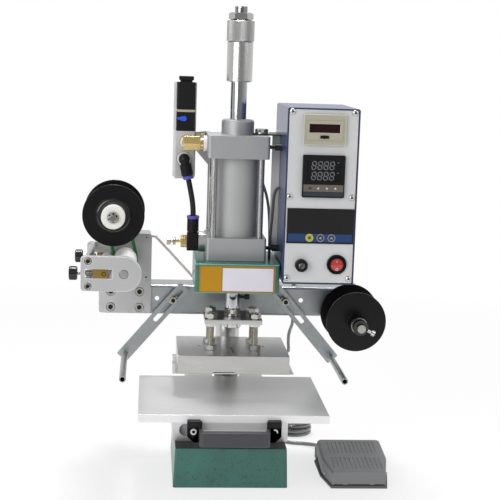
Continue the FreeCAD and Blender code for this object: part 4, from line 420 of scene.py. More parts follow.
finish("keyYellow", (0.42, 0.37, 0.010), (0.36, 0.32, 0.010), 0.4, grain=1600, bump=0.03)
finish("markOlive", (0.075, 0.062, 0.008), (0.06, 0.05, 0.006), 0.45, grain=1600, bump=0.03)
finish("rockerRed", (0.42, 0.030, 0.028), (0.34, 0.022, 0.020), 0.24, grain=1200, bump=0.02, coat=0.5)
print("finishes ready", len(finishes))


def wear(obj, *names):
    obj.data.materials.clear()
    for name in names:
        obj.data.materials.append(finishes[name])
    return obj


def paintFaces(obj, name, test):
    obj.data.materials.append(finishes[name])
    last = len(obj.data.materials) - 1
    for face in obj.data.polygons:
        x, y, z = face.center / mm
        if test(x, y, z, face.normal):
            face.material_index = last


def settle(obj, body, replaced=()):
    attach(obj, body)
    if replaced:
        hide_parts(*replaced)
    return obj


def complete(obj, body, replaced=(), angle=32):
    smoothShade(obj, angle)
    return settle(obj, body, replaced)


def offAxis(x, z, axis):
    return math.hypot(x - axis[0], z - axis[1])


feedAxis = (-128.5, 254.8)
reelAxis = (-142.2, 315.2)
supplyAxis = (149.0, 191.0)
rockerAxis = (112.6, 270.9)

# places on CAD skins that wear another finish, in millimetres; those that are painted shade or highlight say
# so
paints = {
    # the base's top faces near-black: its black top, partly painted shade under the table
    "base_casting": [("baseTopBlackAndShade", lambda x, y, z, n: n.z > 0.9 and z > 47)],
    "stud_plate": [("darkPlate", lambda x, y, z, n: n.z > 0.9)],
    "heater_platen": [("brightSteel", lambda x, y, z, n: x > 64.9 and abs(z - 144.6) < 5
                       and min(abs(y + 32), abs(y), abs(y - 32)) < 5)],
    "take_up_reel": [("whiteNylon", lambda x, y, z, n: y < -21.6 and offAxis(x, z, reelAxis) < 14.2),
                     ("studSteel", lambda x, y, z, n: y < -35.1 and offAxis(x, z, reelAxis) < 4.3)],
    "supply_shaft": [("screwSteel", lambda x, y, z, n: y < -45),
                     ("bossGloss", lambda x, y, z, n: -40.5 < y < -28.1 and offAxis(x, z, supplyAxis) < 9.3)],
    # black inside the hole in the rod's front: painted shade
    "piston_rod": [("blackSteel", lambda x, y, z, n: math.hypot(x, z - 220.6) < 4.45 and y < -1)],
    "box_bracket": [("blackSteel", lambda x, y, z, n: z > 411.5)],
    "drive_roller": [("brightSteel", lambda x, y, z, n: offAxis(x, z, feedAxis) < 5.2),
                     ("whiteNylon", lambda x, y, z, n: y > 41 and offAxis(x, z, feedAxis) > 5.2)],
    "valve_body": [("paleZinc", lambda x, y, z, n: y > 38.9)],
    "valve_coil": [("seamBeige", lambda x, y, z, n: 435.1 < z < 437.9)],
    # the table's front face in the lighter copy: painted highlight
    "worktable": [("tableFrontHighlight", lambda x, y, z, n: n.y < -0.9 and y < -124)],
    "flow_valve": [("blueCollar", lambda x, y, z, n: z > 310.3), ("paleZinc", lambda x, y, z, n: x > -42.8),
                   ("turnedBrass", lambda x, y, z, n: x < -56.4),
                   ("brightSteel", lambda x, y, z, n: -72.8 < x < -69.4),
                   ("paleZinc", lambda x, y, z, n: x < -75.3)],
    "frame_bolts": [("blackSteel", lambda x, y, z, n: 34 < x < 51 and y < -5)],
    "control_panel": [("overlayBlack", lambda x, y, z, n: y < -66.3 and z > 292),
                      ("blackPlastic", lambda x, y, z, n: y < -66.3 and z < 292)],
    "counter_body": [("creamPlastic", lambda x, y, z, n: y < -66.1),
                     ("windowRed", lambda x, y, z, n: -68.9 < y < -68.5 and n.y < -0.9)],
    "temp_controller": [("windowBlack", lambda x, y, z, n: -68.9 < y < -68.5 and n.y < -0.9)],
    "rocker_switch": [("rockerRed", lambda x, y, z, n: n.y < -0.7 and offAxis(x, z, rockerAxis) < 6.2)],
    "pedal_base": [("brightSteel", lambda x, y, z, n: abs(y + 27) < 2 and 7 < z < 11 and abs(x - 153) > 35)],
    "table_handle": [("blackPlastic", lambda x, y, z, n: abs(x + 3) > 37.9 and y > -133.7)],
    "feed_motor": [("motorCan", lambda x, y, z, n: y > 82.1)],
}


# CAD nodes kept in shape: a copy with merged facets, softly broken edges and its finishes; a second finish on
# the bevels is a painted edge highlight, on the control case painted edge shade
def dressNode(name, finishName, width=0.35, segments=2, paintedEdgeLightShade=None):
    source = nodes[name]
    piece = bpy.data.objects.new(name + "Skin", source.data.copy())
    bpy.context.scene.collection.objects.link(piece)
    editAll(piece)
    bpy.ops.mesh.remove_doubles(threshold=1e-6)
    if name != "control_panel":
        bpy.ops.mesh.dissolve_limited(angle_limit=math.radians(0.2))
    leaveEdit()
    wear(piece, finishName, *([paintedEdgeLightShade] if paintedEdgeLightShade else []))
    for face in piece.data.polygons:
        face.material_index = 0
    if name == "rocker_switch":
        pickFaces(piece, lambda centre, normal: normal.y < -0.7)
        bpy.ops.mesh.inset(thickness=rockerRim * mm)
        leaveEdit()
    for paint in paints.get(name, []):
        paintFaces(piece, *paint)
    for row in sockets.get(name, []):
        cutSockets(piece, row)
    if name == "feed_spacers":
        cutBy(piece, addBox("clipMouth", *clipMouth))
    if width:
        # the bevels take the painted edge highlight or edge shade, where one is given
        roundEdges(piece, width, segments, 35, 1 if paintedEdgeLightShade else -1)
    smoothShade(piece)
    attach(piece, source["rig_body"])
    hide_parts(name)


# hexagon sockets cut into the screw heads, their walls black as painted shade: x and z of each, the heads'
# front, corner radius and depth
sockets = {
    "frame_bolts": [
        {"places": [(-69.5, 203.0), (69.5, 203.0)], "front": 46.6, "radius": 2.7, "depth": 2.6},
        {"places": [(-111.0, 192.5), (-111.0, 212.0), (-146.0, 192.5), (-146.0, 212.0)], "front": 54.0,
         "radius": 3.1, "depth": 2.4},
    ],
    "feed_spacers": [
        {"places": [(-168.6, 269.1), (-168.6, 240.5)], "front": -65.0, "radius": 2.5, "depth": 2.2},
    ],
}
clipMouth = ((-137.9, -36.8, 313.0), (-135.0, -35.0, 317.4))
rockerRim = 1.7


def cutSockets(piece, row):
    front = row["front"]
    for x, z in row["places"]:
        cutter = addRod("socketCutter", row["radius"], (x, front - 1, z), (x, front + row["depth"], z), 6)
        # the cutter leaves black socket walls: painted shade
        cutBy(piece, wear(cutter, "recessShadeBlack"))


# finish, bevel width and segments of each node; a fourth finish goes on the bevels: a painted edge highlight,
# on the control case painted edge shade
dressed = {
    "base_casting": ("castGreen", 1.2, 3), "slide_block": ("blockAluminium", 0.4, 2),
    "column": ("groundSteel", 0.6, 2), "head_casting": ("castGreen", 1.0, 3, "castEdgeHighlight"),
    "crossbar": ("zincSheet", 0.25, 2), "lower_cap": ("satinAluminium", 0.7, 2),
    "cylinder_tube": ("boreAluminium", 0.3, 2), "top_cap": ("satinAluminium", 0.7, 2),
    "tie_rods": ("groundSteel", 0.2, 1), "control_case": ("casePaint", 0.5, 2, "caseEdgeShade"),
    "control_panel": ("panelPaint", 0.3, 2), "box_bracket": ("whiteZinc", 0.25, 2),
    "valve_body": ("valveAluminium", 0.4, 2), "valve_coil": ("coilPlastic", 0.4, 2),
    "flow_valve": ("blackPlastic", 0.4, 2), "air_tube": ("tubeRubber", 0, 1),
    "feed_back_plate": ("greyPaint", 0.5, 2, "paleGreyAndEdgeHighlight"),
    "feed_front_plate": ("frontPlateShadedGrey", 0.7, 2, "paleGreyAndEdgeHighlight"), "feed_spacers": ("screwSteel", 0.4, 2),
    "feed_motor": ("satinAluminium", 0.5, 2), "pedal_base": ("pedalBasePlastic", 0.6, 2),
    "cord_glands": ("blackPlastic", 0.3, 2), "drive_belt": ("beltUrethane", 0, 1),
    "supply_shaft": ("brightSteel", 0.3, 2), "piston_rod": ("rodChrome", 0.4, 2),
    "stud_plate": ("brightSteel", 0.4, 2), "heater_platen": ("platenAluminium", 0.4, 2),
    "die_plate": ("brightSteel", 0.2, 1), "worktable": ("tableAluminium", 0.6, 2),
    "carriage_plate": ("tableAluminium", 0.4, 2), "table_handle": ("handlePlastic", 0.6, 3),
    "drive_roller": ("rollerRubber", 0.4, 2), "take_up_reel": ("reelPlastic", 0.9, 3),
    "pinch_roller": ("rollerRubber", 0.4, 2), "pinch_slider": ("sliderBrass", 0.4, 2),
    "supply_reel": ("reelPlastic", 0.6, 3), "left_arm": ("zincSheet", 0.25, 2),
    "right_arm": ("zincSheet", 0.25, 2), "rocker_switch": ("blackPlastic", 0.5, 3),
    "fuse_cap": ("blackPlastic", 0.3, 2), "set_timer_button": ("keyYellow", 0, 1),
    "left_timer_button": ("keySlate", 0, 1), "right_timer_button": ("keySlate", 0, 1),
    "counter_body": ("blackPlastic", 0.4, 2, "creamEdgeHighlight"), "temp_controller": ("blackPlastic", 0.4, 2),
    "valve_override": ("blueLever", 0.4, 2), "foot_pedal": ("pedalPlastic", 0.4, 2),
    "frame_bolts": ("screwSteel", 0.4, 2),
}
for name, spec in dressed.items():
    dressNode(name, *spec)
print("dressed nodes", len(dressed))

# foot switch cord: one curve from the gland, round the coil, into the base
cordRoute = {
    "free": [(126.0, 69.0, 7.0), (126.0, 83.0, 7.0), (120.0, 98.0, 3.8), (106.0, 107.0, 2.7),
             (89.0, 110.0, 2.6), (75.0, 120.0, 2.6), (69.5, 137.0, 2.6)],
    "leadIn": [(195, 31.5), (165, 30.2), (138, 28.4), (113, 26.8)],
    "centre": (98.0, 164.0, 2.6),
    "outer": 24.5,
    "step": 6.3,
    "layer": 5.8,
    "layers": 4,
    "halfTurns": 3,
    "pointsPerHalf": 6,
    "inset": 1.035,
    "out": [(82.0, 139.0, 19.2), (66.0, 136.0, 17.4), (52.5, 128.5, 18.2), (44.5, 120.0, 19.8),
            (44.0, 112.0, 20.0)],
    "radius": 2.5,
}


def coilPoint(route, angle, radius, height):
    x, y, _ = route["centre"]
    turn = math.radians(angle)
    return (x + radius * math.cos(turn), y + radius * math.sin(turn), height)


def cordPoints(route):
    points = list(route["free"])
    floor = route["centre"][2]
    points += [coilPoint(route, angle, radius, floor) for angle, radius in route["leadIn"]]
    radius = route["outer"]
    step = -route["step"] / 2
    angle = 90.0
    height = floor
    count = route["pointsPerHalf"]
    for layer in range(route["layers"]):
        for half in range(route["halfTurns"] + 1):
            climbing = half == route["halfTurns"]
            if climbing and layer == route["layers"] - 1:
                break
            for place in range(count):
                part = place / count
                grown = radius if climbing else radius + step * part
                lifted = height + route["layer"] * part if climbing else height
                points.append(coilPoint(route, angle - 180 * part, grown * route["inset"], lifted))
            angle -= 180
            if climbing:
                height += route["layer"]
            else:
                radius += step
        step = -step
    points.append(coilPoint(route, angle, radius * route["inset"], height))
    return points + route["out"]


def makeCord(name, points, radius):
    curve = bpy.data.curves.new(name, "CURVE")
    curve.dimensions = "3D"
    spline = curve.splines.new("NURBS")
    spline.points.add(len(points) - 1)
    for point, place in zip(spline.points, points):
        point.co = (*(value * mm for value in place), 1.0)
    spline.order_u = 3
    spline.use_endpoint_u = True
    spline.resolution_u = 4
    curve.bevel_depth = radius * mm
    curve.bevel_resolution = 4
    curve.use_fill_caps = True
    cord = bpy.data.objects.new(name, curve)
    bpy.context.scene.collection.objects.link(cord)
    return cord


def wireTube(name, points, radius, finishName):
    wire = makeCord(name, points, radius)
    wire.data.resolution_u = 10
    wire.data.materials.append(finishes[finishName])
    activate(wire)
    bpy.ops.object.convert(target="MESH")
    return bpy.context.object


# strap that holds the turns of the coil
tieStrap = {"low": (95.2, 177.0, 0.05), "high": (100.8, 193.6, 23.4), "wall": 0.6, "edge": 0.25}


def makeTie(spec):
    low, high, wall = Vector(spec["low"]), Vector(spec["high"]), spec["wall"]
    strap = addBox("cordTie", low, high)
    inner = addBox("tieInner", low + Vector((-2, wall, wall)), high + Vector((2, -wall, -wall)))
    cutBy(strap, inner)
    roundEdges(strap, spec["edge"], 2, 60)
    return complete(wear(strap, "tieStrap"), "frame")


pedalCord = makeCord("pedalCord", cordPoints(cordRoute), cordRoute["radius"])
pedalCord.data.materials.append(finishes["cordJacket"])
settle(pedalCord, "frame", ("pedal_cord", "pedal_hank"))
makeTie(tieStrap)
print("cord laid")

# leads from the motor, the valve and the box into the frame
leadRoutes = {
    "motor": [(-98.5, 71, 279), (-93.5, 71, 279), (-92.0, 71.2, 278.2), (-90.0, 71.5, 276.3),
              (-47.0, 79.4, 229.3), (-44.5, 80, 226.6), (-42.5, 80, 226), (-26, 80, 226)],
    "valve": [(-60.8, 39, 460), (-60.8, 54, 460), (-60.8, 62, 425), (-42.8, 62, 399), (-9.5, 60, 395),
              (25.5, 50, 371), (39.5, 29, 341), (43.5, 17, 304), (43.5, 17, 267)],
    "box": [(50.8, -4, 350), (45, -4, 350), (43.6, -4, 318), (41.5, -4, 288), (41.5, -4, 267)],
    "radius": 1.7,
}
heaterRoute = {
    "points": [(64.0, 32, 144.6), (70.5, 32, 144.6), (73.0, 32.5, 144.8), (73.6, 36, 146.2),
               (74.6, 52.6, 152.5), (76.6, 66, 160), (80.6, 71.5, 168.5), (81.5, 72, 172), (81.5, 72, 178),
               (81.5, 72, 258), (81.5, 72, 263), (81.5, 67, 263), (81.5, 56, 263)],
    "radius": 2.0,
}


def makeLeads(routes):
    finishNames = {"motor": "pinkLead", "valve": "darkLead", "box": "darkLead"}
    pieces = [wireTube(key + "Lead", routes[key], routes["radius"], name)
              for key, name in finishNames.items()]
    complete(joinAll("wireLeads", pieces), "frame", ("wire_leads",), angle=60)


def makeHeaterCable(spec):
    cable = wireTube("heaterCable", spec["points"], spec["radius"], "leadJacket")
    smoothShade(cable, 60)
    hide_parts("heater_cable")
    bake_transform(cable)


makeLeads(leadRoutes)
makeHeaterCable(heaterRoute)
print("leads run")


# a flat bar with pointed ends, standing up or lying down
def makeBar(name, halfLength, halfWidth, place, turn, proud=0.2, way=forward):
    deselectAll()
    corner = halfWidth / math.cos(math.pi / 6)
    bpy.ops.mesh.primitive_cylinder_add(vertices=6, radius=corner * mm, depth=proud * 2 * mm)
    bar = bpy.context.object
    bar.name = name
    stretch = max(halfLength - halfWidth, 0.01)
    for side in (-1, 1):
        editAll(bar)
        bpy.ops.mesh.select_mode(type="VERT")
        bpy.ops.mesh.select_all(action="DESELECT")
        leaveEdit()
        for vertex in bar.data.vertices:
            vertex.select = vertex.co.y * side > 0
        bpy.ops.object.mode_set(mode="EDIT")
        bpy.ops.transform.translate(value=(0, side * stretch * mm, 0))
        leaveEdit()
    standOn(bar, place, way, turn)
    return bar


# fasteners, each shaped once: shares of the head's radius and height, the nut's flats and the thread's pitch
fasteners = {
    "socketEdge": 0.14,
    "socketFloor": 0.35,
    "pan": [(0, 0), (1, 0), (1, 0.3), (0.86, 0.72), (0.5, 0.95), (0, 1)],
    "recessHalf": (0.45, 0.12),
    "recessFloor": 0.45,
    "nutFace": 0.47,
    "nutChamfer": 0.6,
    "nutBlank": 1.01,
    "threadCrest": (0.42, 0.58),
}


def makeSocketScrew(name, size, seat, finishName):
    radius, height, socket = size
    seat, way = Vector(seat), Vector(forward)
    edge = radius * fasteners["socketEdge"]
    head = wear(addRounded(name, radius, seat, seat + way * height, 40, edge), finishName)
    floor = seat + way * height * fasteners["socketFloor"]
    # the socket's walls take black: painted shade
    cutBy(head, wear(addRod("socketCutter", socket, floor, seat + way * (height + 1), 6), "recessShadeBlack"))
    return head


def makePanScrew(name, radius, height, seat, finishName):
    profile = [(radius * across, height * up) for across, up in fasteners["pan"]]
    head = wear(addTurned(name, profile, seat, forward, 32), finishName)
    long, short = (radius * share for share in fasteners["recessHalf"])
    for quarter in (0, 90):
        floor = height * fasteners["recessFloor"]
        recess = addBox("recess", (-long, -short, floor), (long, short, height + 1))
        standOn(recess, seat, forward, math.radians(quarter))
        # the cross recess's walls take black: painted shade
        cutBy(head, wear(recess, "recessShadeBlack"))
    return head


def makeHexNut(name, flats, start, end, turn=0.0):
    start, end = Vector(start), Vector(end)
    along = (end - start).normalized()
    height = (end - start).length
    corner = flats / math.sqrt(3)
    inner = flats * fasteners["nutFace"]
    outer = corner * fasteners["nutBlank"]
    drop = (corner - inner) * fasteners["nutChamfer"]
    nut = addRod(name, corner, start - along, end + along, 6, turn)
    blank = addTurned("nutBlank", [(0, 0), (inner, 0), (outer, drop), (outer, height - drop),
                                   (inner, height), (0, height)], start, along, 48)
    cutBy(nut, blank, "INTERSECT")
    return nut


def makeThread(name, crest, root, start, end, pitch, steps=28):
    start, end = Vector(start), Vector(end)
    length = (end - start).length
    turns = round(length / pitch)
    rise = length / turns
    low, high = fasteners["threadCrest"]
    profile = [(0, 0)]
    for turn in range(turns):
        profile += [(root, turn * rise), (crest, (turn + low) * rise), (crest, (turn + high) * rise)]
    return addTurned(name, profile + [(root, length), (0, length)], start, end - start, steps)


# stroke adjuster: plain sleeve below, knurled grip above
adjuster = {
    "sleeve": [(9.6, 0), (13.8, 0), (15.0, 1.2), (15.0, 45.0), (14.2, 46.0), (9.6, 46.0), (9.6, 0)],
    "bottom": 472.2,
    "gripBottom": 518.2,
    "gripHeight": 24.0,
    "gripRadius": 15.7,
    "gripBore": 6.1,
    "columns": 88,
    "rows": 20,
    "tooth": 0.32,
    "rim": 0.7,
}


def makeAdjuster(spec):
    sleeve = addTurned("adjusterSleeve", spec["sleeve"], (0, 0, spec["bottom"]), (0, 0, 1), 80)
    height, radius, bore = spec["gripHeight"], spec["gripRadius"], spec["gripBore"]
    rim = spec["rim"]
    side = [(radius, rim + (height - 2 * rim) * row / spec["rows"]) for row in range(spec["rows"] + 1)]
    profile = [(bore, 0), (radius - rim, 0)] + side + [(radius - rim, height), (bore, height), (bore, 0)]
    grip = addTurned("adjusterGrip", profile, (0, 0, spec["gripBottom"]), (0, 0, 1), spec["columns"])

    def onGrip(centre, normal):
        return abs(normal.z) < 0.1 and math.hypot(centre.x, centre.y) > radius - 0.3

    pickFaces(grip, onGrip)
    bpy.ops.mesh.poke(offset=spec["tooth"] * mm)
    leaveEdit()
    wear(sleeve, "sleeveAluminium")
    wear(grip, "knurlAluminium")
    whole = joinAll("strokeAdjuster", [sleeve, grip])
    complete(whole, "adjuster", ("stroke_adjuster",), angle=30)


# washer, nuts, thread and pin on the ram
# rods: radius, both ends, sides, rounded edge and its segments; nuts: flats, both ends and turn
ramNuts = {
    "washer": (9.8, 196.0, 198.5, 64, 0.4, 2),
    "roundNut": (10.5, 182.0, 190.5, 64, 0.9, 3),
    "hexNut": (19.0, 198.5, 205.5, 0),
    "lockNut": (24.6, 542.5, 551.2, 26),
    "topThread": (7.5, 6.9, 550.2, 557.6, 1.5),
    "pin": (1.8, 5.1, 14.0, 24, 0.3, 2),
    "pinHead": (3.2, 14.0, 20.0, 32, 0.7, 3),
    "pinHeight": 218.5,
}


def makeRamNuts(spec):
    pieces = []
    for key in ("washer", "roundNut"):
        radius, low, high, *rim = spec[key]
        pieces.append(wear(addRounded(key, radius, (0, 0, low), (0, 0, high), *rim), "nutSteel"))
    crest, root, low, high, pitch = spec["topThread"]
    pieces.append(wear(makeThread("topThread", crest, root, (0, 0, low), (0, 0, high), pitch), "studSteel"))
    height = spec["pinHeight"]
    for key in ("pin", "pinHead"):
        radius, start, end, *rim = spec[key]
        pieces.append(wear(addRounded(key, radius, (start, 0, height), (end, 0, height), *rim), "blackSteel"))
    for key in ("hexNut", "lockNut"):
        flats, low, high, turn = spec[key]
        nut = makeHexNut(key, flats, (0, 0, low), (0, 0, high), math.radians(turn))
        pieces.append(wear(nut, "nutSteel"))
    complete(joinAll("ramNuts", pieces), "ram", ("ram_nuts",), angle=30)


# four threaded studs with their nuts between the plate and the platen
platenStuds = {
    "across": 26.0,
    "deep": 17.5,
    "bottom": 149.2,
    "top": 203.4,
    "crest": 4.0,
    "root": 3.55,
    "pitch": 1.4,
    "flats": 13.0,
    "nuts": [(158.0, 164.2), (186.5, 190.5), (196.0, 202.2)],
    "firstTurn": 0.35,
    "turnStep": 0.5,
}


def makeStuds(spec):
    x, y = spec["across"], spec["deep"]
    stud = makeThread("platenStud", spec["crest"], spec["root"], (x, y, spec["bottom"]), (x, y, spec["top"]),
                      spec["pitch"])
    pieces = [wear(stud, "threadSteel")]
    for count, (low, high) in enumerate(spec["nuts"]):
        turn = spec["firstTurn"] + spec["turnStep"] * count
        pieces.append(wear(makeHexNut("studNut", spec["flats"], (x, y, low), (x, y, high), turn), "nutSteel"))
    first = joinAll("platenStuds", pieces)
    smoothShade(first, 30)
    shifts = [(-2 * x, 0, 0), (0, -2 * y, 0), (-2 * x, -2 * y, 0)]
    whole = joinAll("platenStuds", [first] + [copyMoved(first, shift) for shift in shifts])
    settle(whole, "ram", ("platen_studs",))


# brass elbow into the top cap
brassElbow = {
    "height": 400.0,
    "hexFlats": 16.4,
    "hexEnds": (-63.6, -43.0),
    "hexTurn": 30,
    "neckBite": 0.5,
    "neckRadius": 6.6,
    "bossRadius": 6.6,
    "bossX": -58.0,
    "bossBack": 12.0,
    "edge": 0.35,
    "edgeAngle": 25,
    "collarEnds": (-39.4, -35.5),
    "collarRadius": 9.2,
    "collarEdge": 0.5,
}


def makeBrassElbow(spec):
    def onAxis(x, y=0):
        return (x, y, spec["height"])

    hexFrom, hexTo = (onAxis(x) for x in spec["hexEnds"])
    hexBody = makeHexNut("brassElbow", spec["hexFlats"], hexFrom, hexTo, math.radians(spec["hexTurn"]))
    collarEnds = [onAxis(x) for x in spec["collarEnds"]]
    neckStart = onAxis(hexTo[0] - spec["neckBite"])
    neck = addRod("elbowNeck", spec["neckRadius"], neckStart, collarEnds[0], 40)
    bossX = spec["bossX"]
    boss = addRod("elbowBoss", spec["bossRadius"], onAxis(bossX), onAxis(bossX, spec["bossBack"]), 40)
    for piece in (hexBody, neck, boss):
        roundEdges(piece, spec["edge"], 2, spec["edgeAngle"])
        wear(piece, "turnedBrass")
    collar = addRounded("elbowCollar", spec["collarRadius"], *collarEnds, 48, spec["collarEdge"])
    elbow = joinAll("brassElbow", [hexBody, neck, boss, wear(collar, "whiteZinc")])
    complete(elbow, "frame", ("brass_elbow",), angle=28)


# two seats on the front of the valve, with painted shade at the rim where they meet it
valveSeats = {
    "profile": [(0, 0), (8.9, 0), (8.9, 0.3), (8.4, 0.3), (8.4, 0.9), (7.8, 1.4), (0, 1.4)],
    "places": [(-58.0, 400.0), (-61.4, 380.0)],
    "back": 12.1,
    "rimFront": 11.7,
}


def makeValveSeats(spec):
    (x, z), (nextX, nextZ) = spec["places"]
    seat = wear(addTurned("valveSeats", spec["profile"], (x, spec["back"], z), forward, 56), "whiteZinc")
    # the back rim of each seat in dark steel: painted shade where the seat meets the valve
    paintFaces(seat, "studSteel", lambda px, py, pz, n: py > spec["rimFront"])
    seats = joinAll("valveSeats", [seat, copyMoved(seat, (nextX - x, 0, nextZ - z))])
    complete(seats, "frame", angle=28)


# plate behind the coil, with a hole for the lead
coilPlate = {
    "low": (-74.4, 39.0, 356.8),
    "high": (-47.2, 40.6, 469.0),
    "edge": 0.3,
    "hole": (-60.8, 460.0),
    "holeRadius": 2.4,
    "holeDepth": (30, 50),
}


def makeCoilPlate(spec):
    plate = addBox("coilPlate", spec["low"], spec["high"])
    x, z = spec["hole"]
    near, far = spec["holeDepth"]
    cutBy(plate, addRod("leadHole", spec["holeRadius"], (x, near, z), (x, far, z), 32))
    roundEdges(plate, spec["edge"])
    complete(wear(plate, "whiteZinc"), "frame")


# push-in elbow: ball on a stem, stepped sleeve and the blue release collar
pushElbow = {
    "centre": (-61.4, 0.0, 380.5),
    "tilt": 13,
    "body": [(0, -6.9), (3.4, -6.1), (5.7, -3.9), (6.7, -1.0), (6.7, 0.8), (5.7, 2.6), (5.4, 4.2), (5.4, 5.4),
             (6.6, 5.7), (7.1, 6.3), (7.1, 11.6), (6.7, 12.0), (6.7, 12.6), (7.1, 13.0), (7.1, 18.2),
             (6.3, 19.2), (0, 19.2)],
    "collar": [(0, 19.0), (5.7, 19.0), (6.3, 19.5), (6.3, 21.4), (6.0, 21.8), (6.0, 22.8),
               (5.4, 23.3), (0, 23.3)],
    "stem": [(0, 0), (5.6, 0), (5.6, 6.5), (6.4, 7.2), (6.4, 9.8), (5.6, 10.5), (5.6, 12.0), (0, 12.0)],
    "flowCollar": [(5.0, 0), (7.1, 0), (7.4, 0.5), (7.4, 3.2), (6.9, 3.8), (5.0, 3.8), (5.0, 0)],
    "flowTop": (-49.6, 0.0, 311.3),
}


def makePushElbow(spec):
    tilt = math.radians(spec["tilt"])
    down = (math.sin(tilt), 0, -math.cos(tilt))
    body = wear(addTurned("pushElbow", spec["body"], spec["centre"], down, 56), "blackPlastic")
    collar = wear(addTurned("pushCollar", spec["collar"], spec["centre"], down, 56), "blueCollar")
    root = wear(addTurned("pushStem", spec["stem"], spec["centre"], (0, 1, 0), 48), "blackPlastic")
    ring = wear(addTurned("flowCollar", spec["flowCollar"], spec["flowTop"], (0, 0, 1), 56), "blueCollar")
    complete(ring, "frame", angle=30)
    whole = joinAll("pushElbow", [body, collar, root])
    complete(whole, "frame", ("push_elbow",), angle=30)


# rounded boss on the front of the take-up reel
reelBoss = {
    "profile": [(13.7, 0), (20.9, 0), (20.9, 0.8), (20.2, 1.9), (18.9, 2.7), (17.3, 3.0), (15.2, 2.8),
                (13.7, 2.3), (13.7, 0)],
    "front": -19.0,
}


def makeReelBoss(spec):
    boss = addTurned("reelBoss", spec["profile"], (reelAxis[0], spec["front"], reelAxis[1]), forward, 96)
    complete(wear(boss, "bossGloss"), "take_up", angle=50)


# spring clip that holds the take-up reel: a ring with five notches over a black washer, painted shade that
# shows in the notches
reelClip = {
    "ring": [(4.05, 0), (6.3, 0), (6.3, 0.5), (6.0, 0.8), (4.3, 0.8), (4.05, 0.5), (4.05, 0)],
    "front": -36.3,
    "notches": [25, 85, 145, 205, 275],
    "notchLow": (3.0, -1.0, -1),
    "notchHigh": (5.7, 1.0, 3),
    "washer": [(4.05, 0), (6.6, 0), (6.6, 0.3), (4.05, 0.3), (4.05, 0)],
    "washerBack": 0.1,
}


def makeReelClip(spec):
    x, z = reelAxis
    ring = wear(addTurned("reelClip", spec["ring"], (x, spec["front"], z), forward, 48), "paleZinc")
    for angle in spec["notches"]:
        notch = addBox("clipNotch", spec["notchLow"], spec["notchHigh"])
        standOn(notch, (x, spec["front"], z), forward, math.radians(angle))
        cutBy(ring, wear(notch, "recessShadeBlack"))
    behind = (x, spec["front"] + spec["washerBack"], z)
    # black washer behind the clip: painted shade showing through the notches
    washer = wear(addTurned("clipWasher", spec["washer"], behind, forward, 48), "recessShadeBlack")
    clip = joinAll("reelClip", [ring, washer])
    complete(clip, "frame", angle=30)


# dark ring round the drive axle, painted shade in the gap there, and the ring behind the supply collar
shaftRings = {
    "axle": (5.0, 5.45, -65.12, -64.9),
    "collar": (9.05, 9.6, -28.9, -28.2),
    "chamfer": 0.3,
}


def makeShaftRings(spec):
    # the axle ring in black steel is painted shade in its gap; the collar ring is bright steel
    for key, axis, finishName in (("axle", feedAxis, "blackSteel"), ("collar", supplyAxis, "brightSteel")):
        inner, outer, front, back = spec[key]
        depth = back - front
        chamfer = depth * spec["chamfer"]
        profile = [(inner, 0), (inner, depth), (outer - chamfer, depth), (outer, depth - chamfer), (outer, 0),
                   (inner, 0)]
        ring = addTurned(key + "Ring", profile, (axis[0], back, axis[1]), forward, 56)
        complete(wear(ring, finishName), "frame")


# slot in the top of the platen, drawn as a flat dark bar: painted shade in the slot
platenSlotShade = {"place": (0.0, -21.0, 158.0), "half": (15.0, 1.3), "turn": 0.05, "proud": 0.08}


def makePlatenSlotShade(spec):
    slot = makeBar("platenSlotShade", *spec["half"], spec["place"], spec["turn"], spec["proud"], (0, 0, 1))
    # the dark plate finish here is painted shade
    complete(wear(slot, "darkPlate"), "ram")


makeBrassElbow(brassElbow)
makeValveSeats(valveSeats)
makeCoilPlate(coilPlate)
makePushElbow(pushElbow)
makeReelBoss(reelBoss)
makeReelClip(reelClip)
makeShaftRings(shaftRings)
makeAdjuster(adjuster)
makeRamNuts(ramNuts)
makeStuds(platenStuds)
makePlatenSlotShade(platenSlotShade)
print("ram dressed")

# pinch adjusters: ribbed knob on a threaded screw, and a spring, front and back
pinchKnob = {
    "axisHeight": 254.8,
    "front": -61.0,
    "back": 57.0,
    "outer": -190.0,
    "inner": -180.5,
    "radius": 7.3,
    "ribs": 18,
    "ribHeight": 0.6,
    "ribInset": 0.1,
    "rim": 0.8,
    "screw": (2.2, 1.85, 0.8),
    "screwTip": -166.0,
    "springFrom": -171.8,
    "springTo": -163.6,
    "springMean": 3.2,
    "springWire": 0.6,
    "springTurns": 5,
}


def makeKnob(spec):
    height = spec["inner"] - spec["outer"]
    radius = spec["radius"]
    rim = spec["rim"]
    profile = [(0, 0), (radius - rim, 0), (radius, rim), (radius, height - rim), (radius - rim, height),
               (0, height)]
    start = (spec["outer"], spec["front"], spec["axisHeight"])
    knob = addTurned("frontKnob", profile, start, (1, 0, 0), spec["ribs"] * 2)
    step = math.pi / spec["ribs"]

    def onRib(centre, normal):
        angle = math.atan2(centre.z - start[2], centre.y - start[1])
        return abs(normal.x) < 0.1 and int((angle + 2 * math.pi) / step) % 2 == 0

    pickFaces(knob, onRib)
    bpy.ops.mesh.inset(thickness=spec["ribInset"] * mm, depth=spec["ribHeight"] * mm, use_individual=True)
    leaveEdit()
    crest, root, pitch = spec["screw"]
    tip = (spec["screwTip"], *start[1:])
    screw = makeThread("knobScrew", crest, root, (spec["inner"], *start[1:]), tip, pitch, 20)
    wear(knob, "bossGloss")
    wear(screw, "brightSteel")
    front = joinAll("frontKnob", [knob, screw])
    smoothShade(front, 30)
    back = copyMoved(front, (0, spec["back"] - spec["front"], 0))
    back.name = "rearKnob"
    settle(front, "knob_front", ("front_knob",))
    settle(back, "knob_rear", ("rear_knob",))


